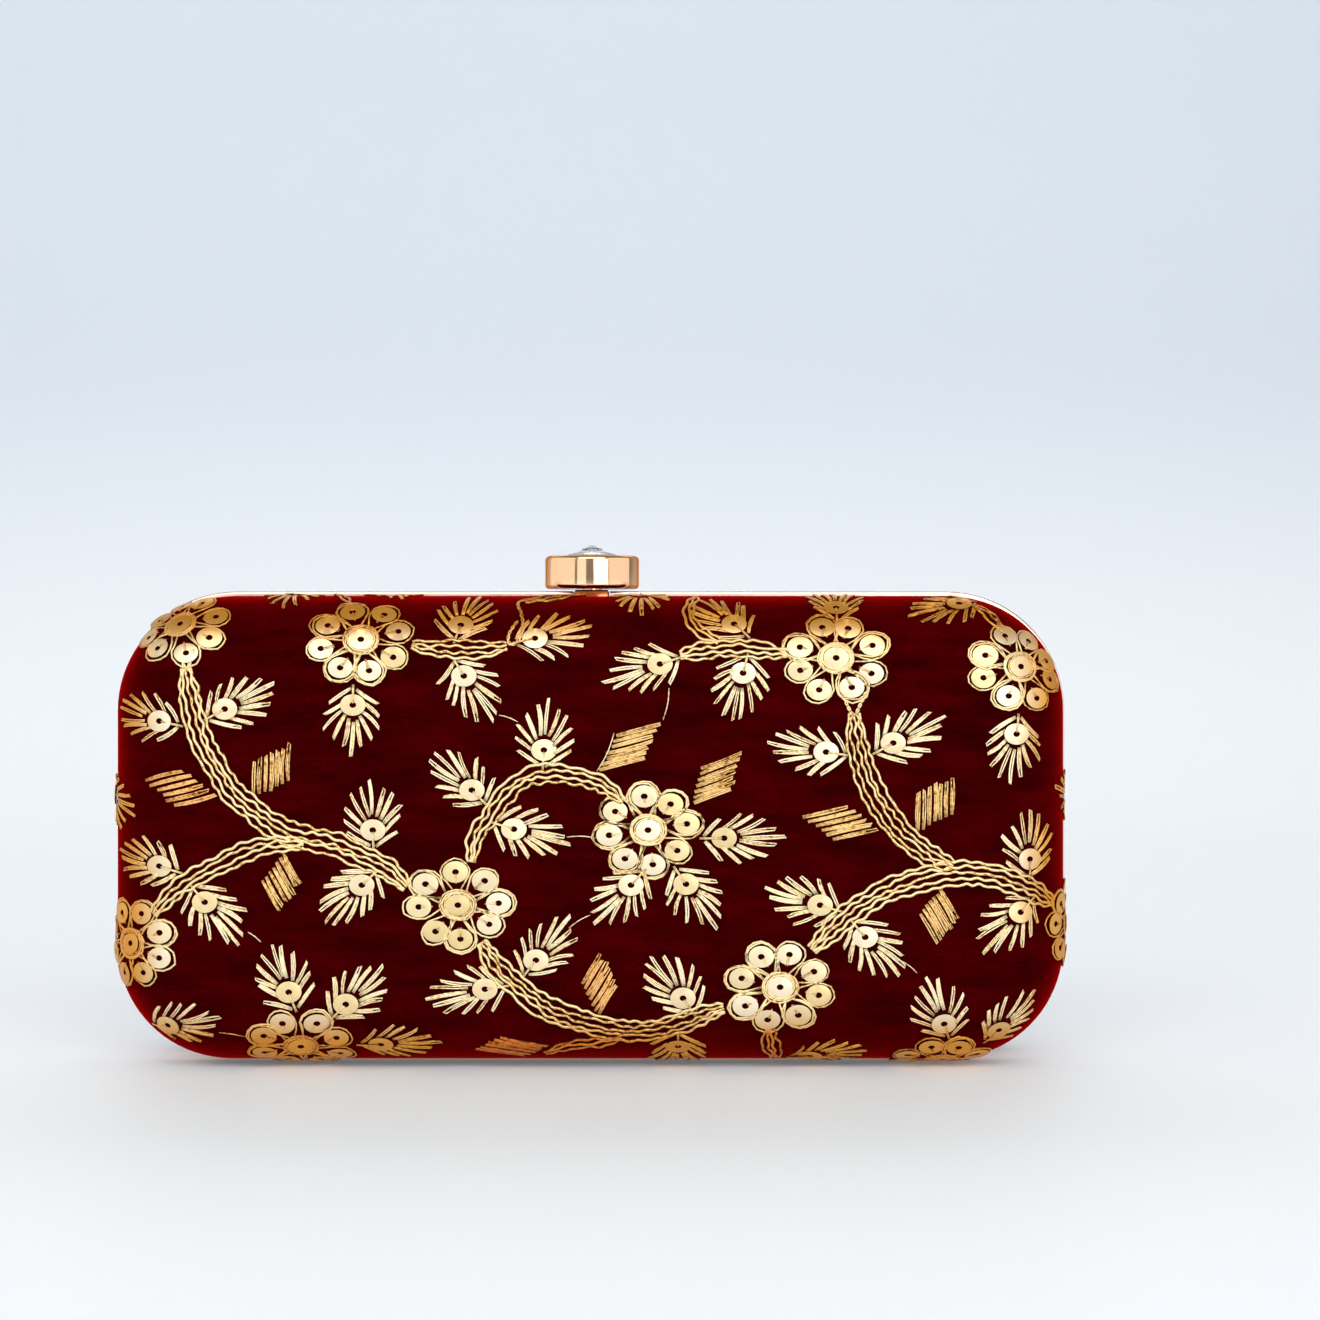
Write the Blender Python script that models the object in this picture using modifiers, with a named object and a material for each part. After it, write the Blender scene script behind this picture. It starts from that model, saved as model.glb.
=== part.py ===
"""Hard-shell box clutch: two embroidered velvet trays in hinged metal frames, with a crystal push clasp.

Metres, +Z up. The clutch stands on its frames at z = 0, its front faces -Y and the frames part at y = 0.
The front half swings about the hinge pins at the bottom, and the crystal button slides down in its drum.
"""

import math

import bmesh
import bpy
from mathutils import Matrix, Vector

MM = 0.001

# Case
BODY_WIDTH = 200 * MM
BODY_HEIGHT = 99 * MM
BODY_DEPTH = 50 * MM
CORNER_RADIUS = 25 * MM
EDGE_ROUND = 14 * MM
CORNER_STEPS = 6
EDGE_STEPS = 4

# Layers of each tray, from the outside in
VELVET_THICKNESS = 0.7 * MM
SHELL_THICKNESS = 1.2 * MM
LINING_THICKNESS = 0.5 * MM
LAYER_GAP = 0.2 * MM

# Frames: a channel that grips the trays' rims, open away from the parting plane
FRAME_BAND = 6.0 * MM
FRAME_OUTER_WALL = 1.0 * MM
FRAME_INNER_WALL = 0.7 * MM
FRAME_WEB = 2.0 * MM
FRAME_EDGE = 0.3 * MM
PARTING_GAP = 0.3 * MM

# Hinges
OPENING_ANGLE = math.radians(90)
GROOVE_SPARE_ANGLE = math.radians(3)
HINGE_OFFSET = 58 * MM
KNUCKLE_RADIUS = 1.6 * MM
KNUCKLE_LENGTH = 6.0 * MM
KNUCKLE_HEIGHT_ABOVE_FLOOR = 0.4 * MM
HINGE_CLEARANCE = 0.3 * MM
PIN_RADIUS = 0.8 * MM
PIN_CLEARANCE = 0.1 * MM

# Clasp drum and its neck
DRUM_RADIUS = 10.0 * MM
DRUM_HEIGHT = 7.0 * MM
DRUM_FLOOR = 0.9 * MM
DRUM_BOTTOM_ROUND = 1.6 * MM
DRUM_TOP_ROUND = 1.2 * MM
DRUM_BORE_RADIUS = 6.4 * MM
SHANK_RADIUS = 2.0 * MM
SHANK_BORE_RADIUS = 1.2 * MM
NECK_WIDTH = 7.2 * MM
NECK_DEPTH = 11.0 * MM
NECK_PROUD = 0.3 * MM
SEAT_GAP = 0.3 * MM

# Crystal button
BUTTON_TRAVEL = 1.8 * MM
BUTTON_RADIUS = 6.1 * MM
BUTTON_BASE = 0.8 * MM
BUTTON_RIM_WALL = 0.35 * MM
BUTTON_RIM_HEIGHT = 1.0 * MM
PLUNGER_RADIUS = 0.9 * MM
CRYSTAL_RADIUS = 5.4 * MM
CRYSTAL_CROWN_RADIUS = 2.3 * MM
CRYSTAL_CROWN = 1.1 * MM
CRYSTAL_TABLE_RADIUS = 1.2 * MM
CRYSTAL_GIRDLE = 1.1 * MM
CRYSTAL_PROUD = 2.3 * MM
CRYSTAL_FACETS = 16
CLIP_RADIUS = 1.8 * MM
CLIP_THICKNESS = 0.4 * MM
CLIP_CLEARANCE = 0.1 * MM

# Button spring
SPRING_WIRE = 0.4 * MM
SPRING_RADIUS = 3.2 * MM
SPRING_TURNS = 2.5
SPRING_POINTS_PER_TURN = 10

# Latch inside the top of the case
BACKING_LENGTH = 40 * MM
BACKING_THICKNESS = 1.0 * MM
NUT_RADIUS = 2.9 * MM
NUT_THICKNESS = 1.2 * MM
SHANK_PAST_NUT = 0.3 * MM
LEAF_THICKNESS = 0.5 * MM
LEAF_WIDTH = 4.4 * MM
LEAF_TIP = 3.5 * MM
LEAF_BEND_START = 5.0 * MM
LEAF_BEND_END = 10.0 * MM
LEAF_FOOT_LENGTH = 9.0 * MM
HOOK_WIDTH = 5.0 * MM
HOOK_NOSE = 0.7 * MM
HOOK_RISE = 1.9 * MM
STRIKE_LENGTH = 17 * MM
STRIKE_PAST_FRAME = 0.5 * MM
STRIKE_THICKNESS = 0.9 * MM
LIP_LENGTH = 8.0 * MM
STRIKE_OVER_LEAF = 0.5 * MM

# Rivets
RIVET_RADIUS = 0.7 * MM
RIVET_HEAD_RADIUS = 1.3 * MM
RIVET_HEAD_HEIGHT = 0.7 * MM
RIVET_CLEARANCE = 0.1 * MM
RIVET_SINK = 0.1 * MM

# Embroidery: motifs that stand proud of both velvet faces, laid out from the middle of the face
EMBROIDERY_RISE = 0.7 * MM
EMBROIDERY_MARGIN = 6.3 * MM
# Places are counted on a grid over the body's width and height, and a motif's own reach in units
LAYOUT_COLUMNS = 200
LAYOUT_ROWS = 99
COLUMN_WIDTH = BODY_WIDTH / LAYOUT_COLUMNS
ROW_HEIGHT = BODY_HEIGHT / LAYOUT_ROWS
LAYOUT_UNIT = 1.0 * MM
MOTIF_WIDTH_SCALE = 1.09
MOTIF_HEIGHT_SCALE = 0.917
FLOWER_PETALS = 8
FLOWER_RADIUS = 10.4 * MM
FLOWER_WAIST_RADIUS = 8.8 * MM
STEM_WIDTH = 4.6 * MM
STEM_END_WIDTH = 2.0 * MM
# Half of a spray, as units ahead of its sequin and to the side, from its foot to its tip
SPRAY_OUTLINE = ((-4.6, 0), (-1.2, 5.2), (2.2, 5.9), (6.0, 4.7), (10.4, 1.2))
# Flowers: across, up, and the first petal's angle in degrees
FLOWERS = (
    (-83, 42, 15), (-46, 39, 10), (12, 0, 8), (-26, -15, 7), (51, 35, 22), (39, -32, 30),
    (88, 33, 22), (-92, -23, 22), (-58, -44, 22),
)
# Sprays: across, up, and heading in degrees from the right
SPRAYS = (
    (-87, 22, 165), (-74, 25, 35), (-48, 26, -90), (-26, 42, 75), (-25, 31, -65), (-11, 39, 15),
    (-9, 16, 85), (-24, 8, 130), (-44, 0, 90), (-15, 0, -20), (-46, -11, 230), (-87, -7, 160),
    (-78, -15, -55), (-61, -33, 110), (-49, -36, 50), (-11, -27, 55), (-21, -32, 190), (-85, -40, 15),
    (-42, -43, 5), (30, 42, 130), (15, 34, 200), (32, 32, -100), (51, 45, 90), (49, 16, 170),
    (62, 18, 35), (87, 20, -95), (76, 46, 205), (28, -2, 0), (9, -11, 230), (20, -11, -60),
    (19, -34, 120), (47, -15, 160), (57, -22, -55), (90, -6, 90), (88, -17, 230), (73, -39, 105),
    (84, -41, 55), (45, -46, 15), (18, -44, -90),
)
# Filled leaves: across, up, step from the first stroke to the last, the strokes' angle and length
LEAVES = (
    (-65, 12, 7, 3, 88, 7), (-62, -11, -4, -6, -61, 7), (9, 17, -3, -7, 15, 9), (26, 11, -2, -7, 21, 9),
    (52, 1, 6, -4, 13, 9), (71, 5, 7, 3, 89, 8), (72, -18, -4, -5, -60, 7), (-83, 9, 7, -5, 14, 9),
    (2, -31, 3, -6, 59, 7), (-15, -44, -5, -2, -14, 10),
)
# Stems: the bends of each middle line, across and up
STEMS = (
    ((-82, 33), (-80, 23), (-78, 16), (-72, 7), (-64, 1), (-56, -2), (-47, -5), (-37, -12)),
    ((-89, -17), (-82, -11), (-75, -7), (-67, -3), (-58, -3)),
    ((-36, 38), (-27, 37), (-16, 37)),
    ((-24, -7), (-22, 0), (-18, 5), (-12, 11), (-3, 11), (3, 9), (7, 6)),
    ((-22, -23), (-17, -29), (-11, -34), (-4, -38), (5, -40), (15, -40), (28, -36)),
    ((7, -42), (-2, -43), (-9, -45)),
    ((54, 24), (55, 16), (58, 9), (63, 1), (71, -6)),
    ((46, -25), (53, -18), (60, -13), (68, -10), (78, -9), (86, -10), (95, -15)),
    ((19, 36), (32, 37), (41, 36)),
    ((22, 47), (21, 43), (27, 38)),
)

# Facets round a turned piece, and how far a cutter runs past what it cuts
TURN_STEPS = 28
SMALL_TURN_STEPS = 16
CUT_PAST = 1.0 * MM
WELD_DISTANCE = 0.000002
SMOOTH_ANGLE = math.radians(35)

# Places that follow from the sizes above
VELVET_INSET = FRAME_OUTER_WALL + LAYER_GAP
SHELL_INSET = VELVET_INSET + VELVET_THICKNESS + LAYER_GAP
LINING_INSET = SHELL_INSET + SHELL_THICKNESS + LAYER_GAP
CHANNEL_END = LINING_INSET + LINING_THICKNESS + LAYER_GAP
FRAME_HEIGHT = CHANNEL_END + FRAME_INNER_WALL
HINGE_Z = KNUCKLE_HEIGHT_ABOVE_FLOOR + KNUCKLE_RADIUS
POCKET_RADIUS = KNUCKLE_RADIUS + HINGE_CLEARANCE
HINGE_PITCH = KNUCKLE_LENGTH + HINGE_CLEARANCE
FRAME_NEAR_Y = PARTING_GAP / 2
WEB_Y = FRAME_NEAR_Y + FRAME_WEB
RIM_Y = max(WEB_Y, POCKET_RADIUS) + LAYER_GAP
MIDDLE_Z = BODY_HEIGHT / 2
INNER_WALL_TOP_Z = BODY_HEIGHT - CHANNEL_END
INNER_WALL_Z = BODY_HEIGHT - FRAME_HEIGHT

# Stack of clasp pieces on the drum's axis, from the top down
NECK_TOP_Z = BODY_HEIGHT + NECK_PROUD
DRUM_Z = NECK_TOP_Z + SEAT_GAP
DRUM_TOP_Z = DRUM_Z + DRUM_HEIGHT
DRUM_FLOOR_Z = DRUM_Z + DRUM_FLOOR
SPRING_ROOM = BUTTON_TRAVEL + (SPRING_TURNS + 1) * SPRING_WIRE + SEAT_GAP
BUTTON_Z = DRUM_FLOOR_Z + SPRING_ROOM
CRYSTAL_Z = BUTTON_Z + BUTTON_BASE + SEAT_GAP
CRYSTAL_TOP_Z = DRUM_TOP_Z + CRYSTAL_PROUD
NOTCH_Z = INNER_WALL_TOP_Z + LAYER_GAP + SEAT_GAP
NECK_Z = NOTCH_Z + SEAT_GAP
BACKING_TOP_Z = INNER_WALL_Z - SEAT_GAP
BACKING_Z = BACKING_TOP_Z - BACKING_THICKNESS
NUT_Z = BACKING_Z - SEAT_GAP - NUT_THICKNESS
SHANK_END_Z = NUT_Z - SHANK_PAST_NUT
CLIP_TOP_Z = SHANK_END_Z - SEAT_GAP
PLUNGER_END_Z = CLIP_TOP_Z - CLIP_THICKNESS - CLIP_CLEARANCE
LEAF_TOP_Z = PLUNGER_END_Z - SEAT_GAP
LEAF_FOOT_TOP_Z = BACKING_Z - SEAT_GAP

# Latch pieces from the back of the case to the front
SHANK_HOLE_RADIUS = SHANK_RADIUS + SEAT_GAP
BACKING_FRONT_Y = -(SHANK_HOLE_RADIUS + SEAT_GAP)
BACKING_BACK_Y = FRAME_BAND
LEAF_FRONT_Y = BACKING_FRONT_Y + SEAT_GAP
LEAF_BACK_Y = LEAF_FRONT_Y + LEAF_WIDTH
STRIKE_BACK_Y = min(BACKING_FRONT_Y, -NUT_RADIUS) - 2 * SEAT_GAP
STRIKE_FRONT_Y = -(FRAME_BAND + STRIKE_PAST_FRAME)
STRIKE_Z = INNER_WALL_Z - SEAT_GAP - STRIKE_THICKNESS
LIP_Z = LEAF_TOP_Z + STRIKE_OVER_LEAF
LIP_FRONT_Y = STRIKE_BACK_Y - STRIKE_THICKNESS
NOSE_BACK_Y = LIP_FRONT_Y - STRIKE_OVER_LEAF
NOSE_FRONT_Y = NOSE_BACK_Y - HOOK_NOSE
BACKING_RIVET_Y = LEAF_BACK_Y + SEAT_GAP + RIVET_HEAD_RADIUS
STRIKE_RIVET_Y = (STRIKE_BACK_Y - FRAME_BAND) / 2
LATCH_RIVET_Y = (LEAF_FRONT_Y + LEAF_BACK_Y) / 2


def clear_scene():
    for old in list(bpy.data.objects):
        bpy.data.objects.remove(old, do_unlink=True)


def new_collection(name):
    collection = bpy.data.collections.new(name)
    bpy.context.scene.collection.children.link(collection)
    return collection


def new_material(name, colour, roughness, metallic=0.0, transmission=0.0, sheen=0.0):
    material = bpy.data.materials.new(name)
    material.use_nodes = True
    shader = material.node_tree.nodes["Principled BSDF"]
    shader.inputs["Base Color"].default_value = (*colour, 1.0)
    shader.inputs["Roughness"].default_value = roughness
    shader.inputs["Metallic"].default_value = metallic
    shader.inputs["Transmission Weight"].default_value = transmission
    shader.inputs["Sheen Weight"].default_value = sheen
    return material


def new_empty(name, location):
    empty = bpy.data.objects.new(name, None)
    empty.location = location
    CLUTCH.objects.link(empty)
    bpy.context.view_layer.update()
    return empty


def mesh_object(name, shape, collection):
    """An object from a bmesh, which is freed."""
    mesh = bpy.data.meshes.new(name)
    shape.to_mesh(mesh)
    shape.free()
    made = bpy.data.objects.new(name, mesh)
    collection.objects.link(made)
    return made


def as_part(made, material, carrier, smooth=False):
    """Dresses an object as a piece of the clutch that moves with its carrier."""
    made.data.materials.append(material)
    made.parent = carrier
    made.matrix_parent_inverse = carrier.matrix_world.inverted()
    if smooth:
        made.data.shade_smooth()
        made.data.set_sharp_from_angle(angle=SMOOTH_ANGLE)
    return made


def as_cutter(made):
    made.hide_render = True
    made.display_type = "WIRE"
    return made


def boolean(made, other, operation):
    modifier = made.modifiers.new(f"{operation.lower()} {other.name}", "BOOLEAN")
    modifier.operation = operation
    modifier.object = other
    return made


def box_shape(low, high):
    shape = bmesh.new()
    size = Vector(high) - Vector(low)
    middle = (Vector(high) + Vector(low)) / 2
    matrix = Matrix.Translation(middle) @ Matrix.Diagonal((*size, 1.0))
    bmesh.ops.create_cube(shape, size=1.0, matrix=matrix)
    return shape


def box(name, low, high, collection):
    return mesh_object(name, box_shape(low, high), collection)


def cylinder(name, radius, start, end, collection, steps=SMALL_TURN_STEPS):
    """A cylinder between two points on its axis."""
    shape = bmesh.new()
    start, end = Vector(start), Vector(end)
    turn = (end - start).to_track_quat("Z", "Y").to_matrix().to_4x4()
    bmesh.ops.create_cone(
        shape,
        cap_ends=True,
        segments=steps,
        radius1=radius,
        radius2=radius,
        depth=(end - start).length,
        matrix=Matrix.Translation((start + end) / 2) @ turn,
    )
    return mesh_object(name, shape, collection)


def turned(name, profile, steps, closed=False):
    """A profile of (radius, z) points turned about the Z axis. It runs down the outer side."""
    shape = bmesh.new()
    corners = [shape.verts.new((radius, 0, z)) for radius, z in profile]
    for first, second in zip(corners, corners[1:]):
        shape.edges.new((first, second))
    if closed:
        shape.edges.new((corners[-1], corners[0]))
    mesh = bpy.data.meshes.new(name)
    shape.to_mesh(mesh)
    shape.free()
    made = bpy.data.objects.new(name, mesh)
    CLUTCH.objects.link(made)
    screw = made.modifiers.new("turn", "SCREW")
    screw.steps = steps
    screw.render_steps = steps
    screw.use_merge_vertices = True
    screw.merge_threshold = WELD_DISTANCE
    return made


def arc(centre, radius, start, end, steps):
    """Points of an arc in a (radius, z) profile, angles in degrees."""
    angles = [math.radians(start + (end - start) * i / steps) for i in range(steps + 1)]
    return [(centre[0] + radius * math.cos(a), centre[1] + radius * math.sin(a)) for a in angles]


def rounded_outline(half_width, half_height, radius):
    """Points round a rectangle with round corners, anticlockwise about the origin."""
    points = []
    for quarter, (side, up) in enumerate(((1, 1), (-1, 1), (-1, -1), (1, -1))):
        centre = (side * (half_width - radius), up * (half_height - radius))
        points += arc(centre, radius, 90 * quarter, 90 * quarter + 90, CORNER_STEPS)
    return points


def closed_curve(name, outlines, collection):
    """A flat curve object of closed outlines."""
    curve = bpy.data.curves.new(name, "CURVE")
    curve.dimensions = "2D"
    for outline in outlines:
        spline = curve.splines.new("POLY")
        spline.points.add(len(outline) - 1)
        for point, (across, up) in zip(spline.points, outline):
            point.co = (across, up, 0, 1)
        spline.use_cyclic_u = True
    drawn = bpy.data.objects.new(name, curve)
    collection.objects.link(drawn)
    return drawn


def plate(name, outline, thickness, matrix, collection):
    """A flat plate from a closed outline, made a mesh."""
    drawn = closed_curve(f"{name} outline", [outline], collection)
    drawn.data.fill_mode = "BOTH"
    drawn.data.extrude = thickness / 2
    drawn.matrix_world = matrix
    return curve_to_mesh(name, drawn, collection)


def curve_to_mesh(name, drawn, collection):
    """Replaces a curve object by a welded mesh object in the same place."""
    bpy.context.view_layer.update()
    graph = bpy.context.evaluated_depsgraph_get()
    mesh = bpy.data.meshes.new_from_object(drawn.evaluated_get(graph))
    shape = bmesh.new()
    shape.from_mesh(mesh)
    bmesh.ops.remove_doubles(shape, verts=shape.verts, dist=WELD_DISTANCE)
    bmesh.ops.recalc_face_normals(shape, faces=shape.faces)
    shape.transform(drawn.matrix_world)
    bpy.data.meshes.remove(mesh)
    bpy.data.objects.remove(drawn, do_unlink=True)
    return mesh_object(name, shape, collection)


def upright(y):
    """Stands a drawing made in X and Y up in X and Z, at depth y."""
    return Matrix.Translation((0, y, MIDDLE_Z)) @ Matrix.Rotation(math.radians(90), 4, "X")


def tray_surface(inset):
    """The outer surface of one layer of a front tray: a rounded dish, open at the parting plane."""
    depth_loss = inset - VELVET_INSET
    face_y = -(BODY_DEPTH / 2 - depth_loss)
    low = Vector((-BODY_WIDTH / 2 + inset, face_y, inset))
    high = Vector((BODY_WIDTH / 2 - inset, -RIM_Y, BODY_HEIGHT - inset))
    shape = box_shape(low, high)
    depth_edges = [e for e in shape.edges if abs(e.verts[0].co.y - e.verts[1].co.y) > WELD_DISTANCE]
    round_edges(shape, depth_edges, CORNER_RADIUS - inset, CORNER_STEPS)
    face_edges = [e for e in shape.edges if all(abs(v.co.y - face_y) < WELD_DISTANCE for v in e.verts)]
    round_edges(shape, face_edges, EDGE_ROUND - depth_loss, EDGE_STEPS)
    mouth = [f for f in shape.faces if all(abs(v.co.y + RIM_Y) < WELD_DISTANCE for v in f.verts)]
    bmesh.ops.delete(shape, geom=mouth, context="FACES")
    return shape


def round_edges(shape, edges, radius, steps):
    bmesh.ops.bevel(
        shape, geom=edges, offset=radius, offset_type="OFFSET", segments=steps, profile=0.5, affect="EDGES"
    )


def build_trays():
    """Velvet cover, moulded shell and lining of each half: the back tray is the front one turned round."""
    layers = (
        ("velvet_cover", VELVET_INSET, VELVET_THICKNESS, VELVET),
        ("shell", SHELL_INSET, SHELL_THICKNESS, SHELL_PLASTIC),
        ("lining", LINING_INSET, LINING_THICKNESS, LINING_SATIN),
    )
    for layer, inset, thickness, material in layers:
        for half, turn, carrier in (("front", 0, FRONT_HALF), ("back", math.pi, BACK_HALF)):
            turned_round = Matrix.Rotation(turn, 4, "Z")
            tray = tray_wall(f"{half}_{layer}", inset, thickness, turned_round, CLUTCH)
            boolean(tray, NOTCH_CUTTER, "DIFFERENCE")
            if layer == "velvet_cover":
                boolean(tray, raised_motifs(half, turned_round), "UNION")
            as_part(tray, material, carrier, smooth=True)


def tray_wall(name, inset, thickness, matrix, collection):
    """A layer of a tray: its outer surface, thickened inwards."""
    shape = tray_surface(inset)
    shape.transform(matrix)
    tray = mesh_object(name, shape, collection)
    wall = tray.modifiers.new("wall", "SOLIDIFY")
    wall.thickness = thickness
    wall.offset = -1
    wall.use_even_offset = True
    return tray


def raised_motifs(half, matrix):
    """The embroidery of one half: a layer half sunk in the velvet, kept only where the motifs are."""
    inset = VELVET_INSET - EMBROIDERY_RISE
    thickness = EMBROIDERY_RISE + VELVET_THICKNESS / 2
    layer = as_cutter(tray_wall(f"{half} embroidery", inset, thickness, matrix, CUTTERS))
    shape = bmesh.new()
    front_y = -BODY_DEPTH / 2 - EMBROIDERY_RISE - CUT_PAST
    back = Vector((0, -FRAME_BAND - EMBROIDERY_MARGIN - front_y, 0))
    for outline in motif_outlines():
        corners = [shape.verts.new((x, front_y, MIDDLE_Z + z)) for x, z in outline]
        front = shape.faces.new(corners)
        sides = bmesh.ops.extrude_face_region(shape, geom=[front], use_keep_orig=True)
        moved = [v for v in sides["geom"] if isinstance(v, bmesh.types.BMVert)]
        bmesh.ops.translate(shape, verts=moved, vec=back)
    bmesh.ops.recalc_face_normals(shape, faces=shape.faces)
    shape.transform(matrix)
    motifs = as_cutter(mesh_object(f"{half} motifs", shape, CUTTERS))
    boolean(layer, motifs, "INTERSECT")
    layer.modifiers[-1].use_self = True
    return layer


def motif_outlines():
    """Closed outlines of every flower, spray, leaf and stem, in X and Z from the middle of the face."""
    outlines = [flower_outline(*flower) for flower in FLOWERS]
    outlines += [spray_outline(*spray) for spray in SPRAYS]
    outlines += [leaf_outline(*leaf) for leaf in LEAVES]
    outlines += [stem_outline(line) for line in STEMS]
    return outlines


def layout_place(across, up):
    """A place of the layout on the face, which keeps its share of the body's width and height."""
    return Vector((across, up)) * Vector((COLUMN_WIDTH, ROW_HEIGHT))


def motif_point(across, up, angle, ahead, side):
    """A point of a motif that faces an angle, its place on the layout's grid and its own reach in metres."""
    x = ahead * math.cos(angle) - side * math.sin(angle)
    z = ahead * math.sin(angle) + side * math.cos(angle)
    return (across * COLUMN_WIDTH + x * MOTIF_WIDTH_SCALE, up * ROW_HEIGHT + z * MOTIF_HEIGHT_SCALE)


def flower_outline(across, up, first_petal):
    points = []
    for step in range(2 * FLOWER_PETALS):
        angle = math.radians(first_petal) + math.pi * step / FLOWER_PETALS
        reach = FLOWER_WAIST_RADIUS if step % 2 else FLOWER_RADIUS
        points.append(motif_point(across, up, angle, reach, 0))
    return points


def spray_outline(across, up, heading):
    other_side = [(ahead, -side) for ahead, side in reversed(SPRAY_OUTLINE[1:])]
    angle = math.radians(heading)
    points = []
    for ahead, side in [*SPRAY_OUTLINE, *other_side]:
        points.append(motif_point(across, up, angle, ahead * LAYOUT_UNIT, side * LAYOUT_UNIT))
    return points


def leaf_outline(across, up, step_across, step_up, stroke_angle, stroke_length):
    middle = layout_place(across, up)
    half_step = Vector((step_across, step_up)) * LAYOUT_UNIT / 2
    angle = math.radians(stroke_angle)
    half_stroke = Vector((math.cos(angle), math.sin(angle))) * stroke_length * LAYOUT_UNIT / 2
    corners = ((-1, -1), (1, -1), (1, 1), (-1, 1))
    return [tuple(middle + half_step * step + half_stroke * stroke) for step, stroke in corners]


def stem_outline(line):
    """A ribbon along a stem's middle line, narrower at both ends."""
    bends = [layout_place(*bend) for bend in line]
    left, right = [], []
    for number, bend in enumerate(bends):
        before, after = bends[max(number - 1, 0)], bends[min(number + 1, len(bends) - 1)]
        ahead = (after - before).normalized()
        width = STEM_END_WIDTH if number in (0, len(bends) - 1) else STEM_WIDTH
        side = Vector((-ahead.y, ahead.x)) * width / 2
        left.append(tuple(bend + side))
        right.append(tuple(bend - side))
    return left + right[::-1]


def frame_channel(name, side):
    """The bare channel of one frame, swept round the case. side is -1 for the front and 1 for the back."""
    section = [
        (FRAME_EDGE, FRAME_NEAR_Y),
        (0, FRAME_NEAR_Y + FRAME_EDGE),
        (0, FRAME_BAND - FRAME_EDGE),
        (FRAME_EDGE, FRAME_BAND),
        (FRAME_OUTER_WALL, FRAME_BAND),
        (FRAME_OUTER_WALL, WEB_Y),
        (CHANNEL_END, WEB_Y),
        (CHANNEL_END, FRAME_BAND),
        (FRAME_HEIGHT, FRAME_BAND),
        (FRAME_HEIGHT, FRAME_NEAR_Y),
    ]
    drawn_section = closed_curve(f"{name} section", [[(inset, -side * y) for inset, y in section]], CUTTERS)
    loop = rounded_outline(BODY_WIDTH / 2, BODY_HEIGHT / 2, CORNER_RADIUS)
    path = closed_curve(f"{name} path", [loop], CLUTCH)
    path.data.bevel_mode = "OBJECT"
    path.data.bevel_object = drawn_section
    path.matrix_world = upright(0)
    frame = curve_to_mesh(name, path, CLUTCH)
    bpy.data.objects.remove(drawn_section, do_unlink=True)
    return frame


def hinge_cylinder(name, radius, start, end, collection):
    return cylinder(name, radius, (start, 0, HINGE_Z), (end, 0, HINGE_Z), collection)


def knuckle_spans():
    """Each knuckle's start and end along X: the outer pair is on the back frame, the middle on the front."""
    spans = {-1: [], 1: []}
    for hinge in (-HINGE_OFFSET, HINGE_OFFSET):
        for place in (-1, 0, 1):
            middle = hinge + place * HINGE_PITCH
            owner = -1 if place == 0 else 1
            spans[owner].append((middle - KNUCKLE_LENGTH / 2, middle + KNUCKLE_LENGTH / 2))
    return spans


def build_frames():
    """Both frames: channels with hinge knuckles, the groove that lets them fold, and the clasp's notch."""
    spans = knuckle_spans()
    groove = as_cutter(fold_groove())
    for side, name, carrier in ((-1, "front_frame", FRONT_HALF), (1, "back_frame", BACK_HALF)):
        frame = frame_channel(name, side)
        boolean(frame, groove, "DIFFERENCE")
        for number, (start, end) in enumerate(spans[-side]):
            pocket = hinge_cylinder(
                f"{name} pocket {number}",
                POCKET_RADIUS,
                start - HINGE_CLEARANCE,
                end + HINGE_CLEARANCE,
                CUTTERS,
            )
            boolean(frame, as_cutter(pocket), "DIFFERENCE")
        for number, (start, end) in enumerate(spans[side]):
            knuckle = hinge_cylinder(f"{name} knuckle {number}", KNUCKLE_RADIUS, start, end, CUTTERS)
            boolean(frame, as_cutter(knuckle), "UNION")
        for bore in PIN_BORES:
            boolean(frame, bore, "DIFFERENCE")
        boolean(frame, NOTCH_CUTTER, "DIFFERENCE")
        boolean(frame, SHANK_HOLE, "DIFFERENCE")
        rivets = STRIKE_RIVETS if side < 0 else BACKING_RIVETS
        for hole in rivet_holes(name, rivets, INNER_WALL_Z, INNER_WALL_TOP_Z):
            boolean(frame, hole, "DIFFERENCE")
        as_part(frame, ROSE_GOLD, carrier)


def fold_groove():
    """A V along the bottom whose point is on the hinge line, so that the halves can swing apart."""
    half_angle = OPENING_ANGLE / 2 + GROOVE_SPARE_ANGLE
    drop = HINGE_Z + CUT_PAST
    spread = drop * math.tan(half_angle)
    outline = [(0, HINGE_Z), (-spread, HINGE_Z - drop), (spread, HINGE_Z - drop)]
    along_x = Matrix(((0, 0, 1, 0), (1, 0, 0, 0), (0, 1, 0, 0), (0, 0, 0, 1)))
    return plate("fold groove", outline, BODY_WIDTH, along_x, CUTTERS)


def build_hinge_pins():
    half_length = HINGE_PITCH + KNUCKLE_LENGTH / 2
    for side, name in ((-1, "hinge_pin_left"), (1, "hinge_pin_right")):
        middle = side * HINGE_OFFSET
        pin = hinge_cylinder(name, PIN_RADIUS, middle - half_length, middle + half_length, CLUTCH)
        as_part(pin, SPRING_STEEL, BACK_HALF, smooth=True)


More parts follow.
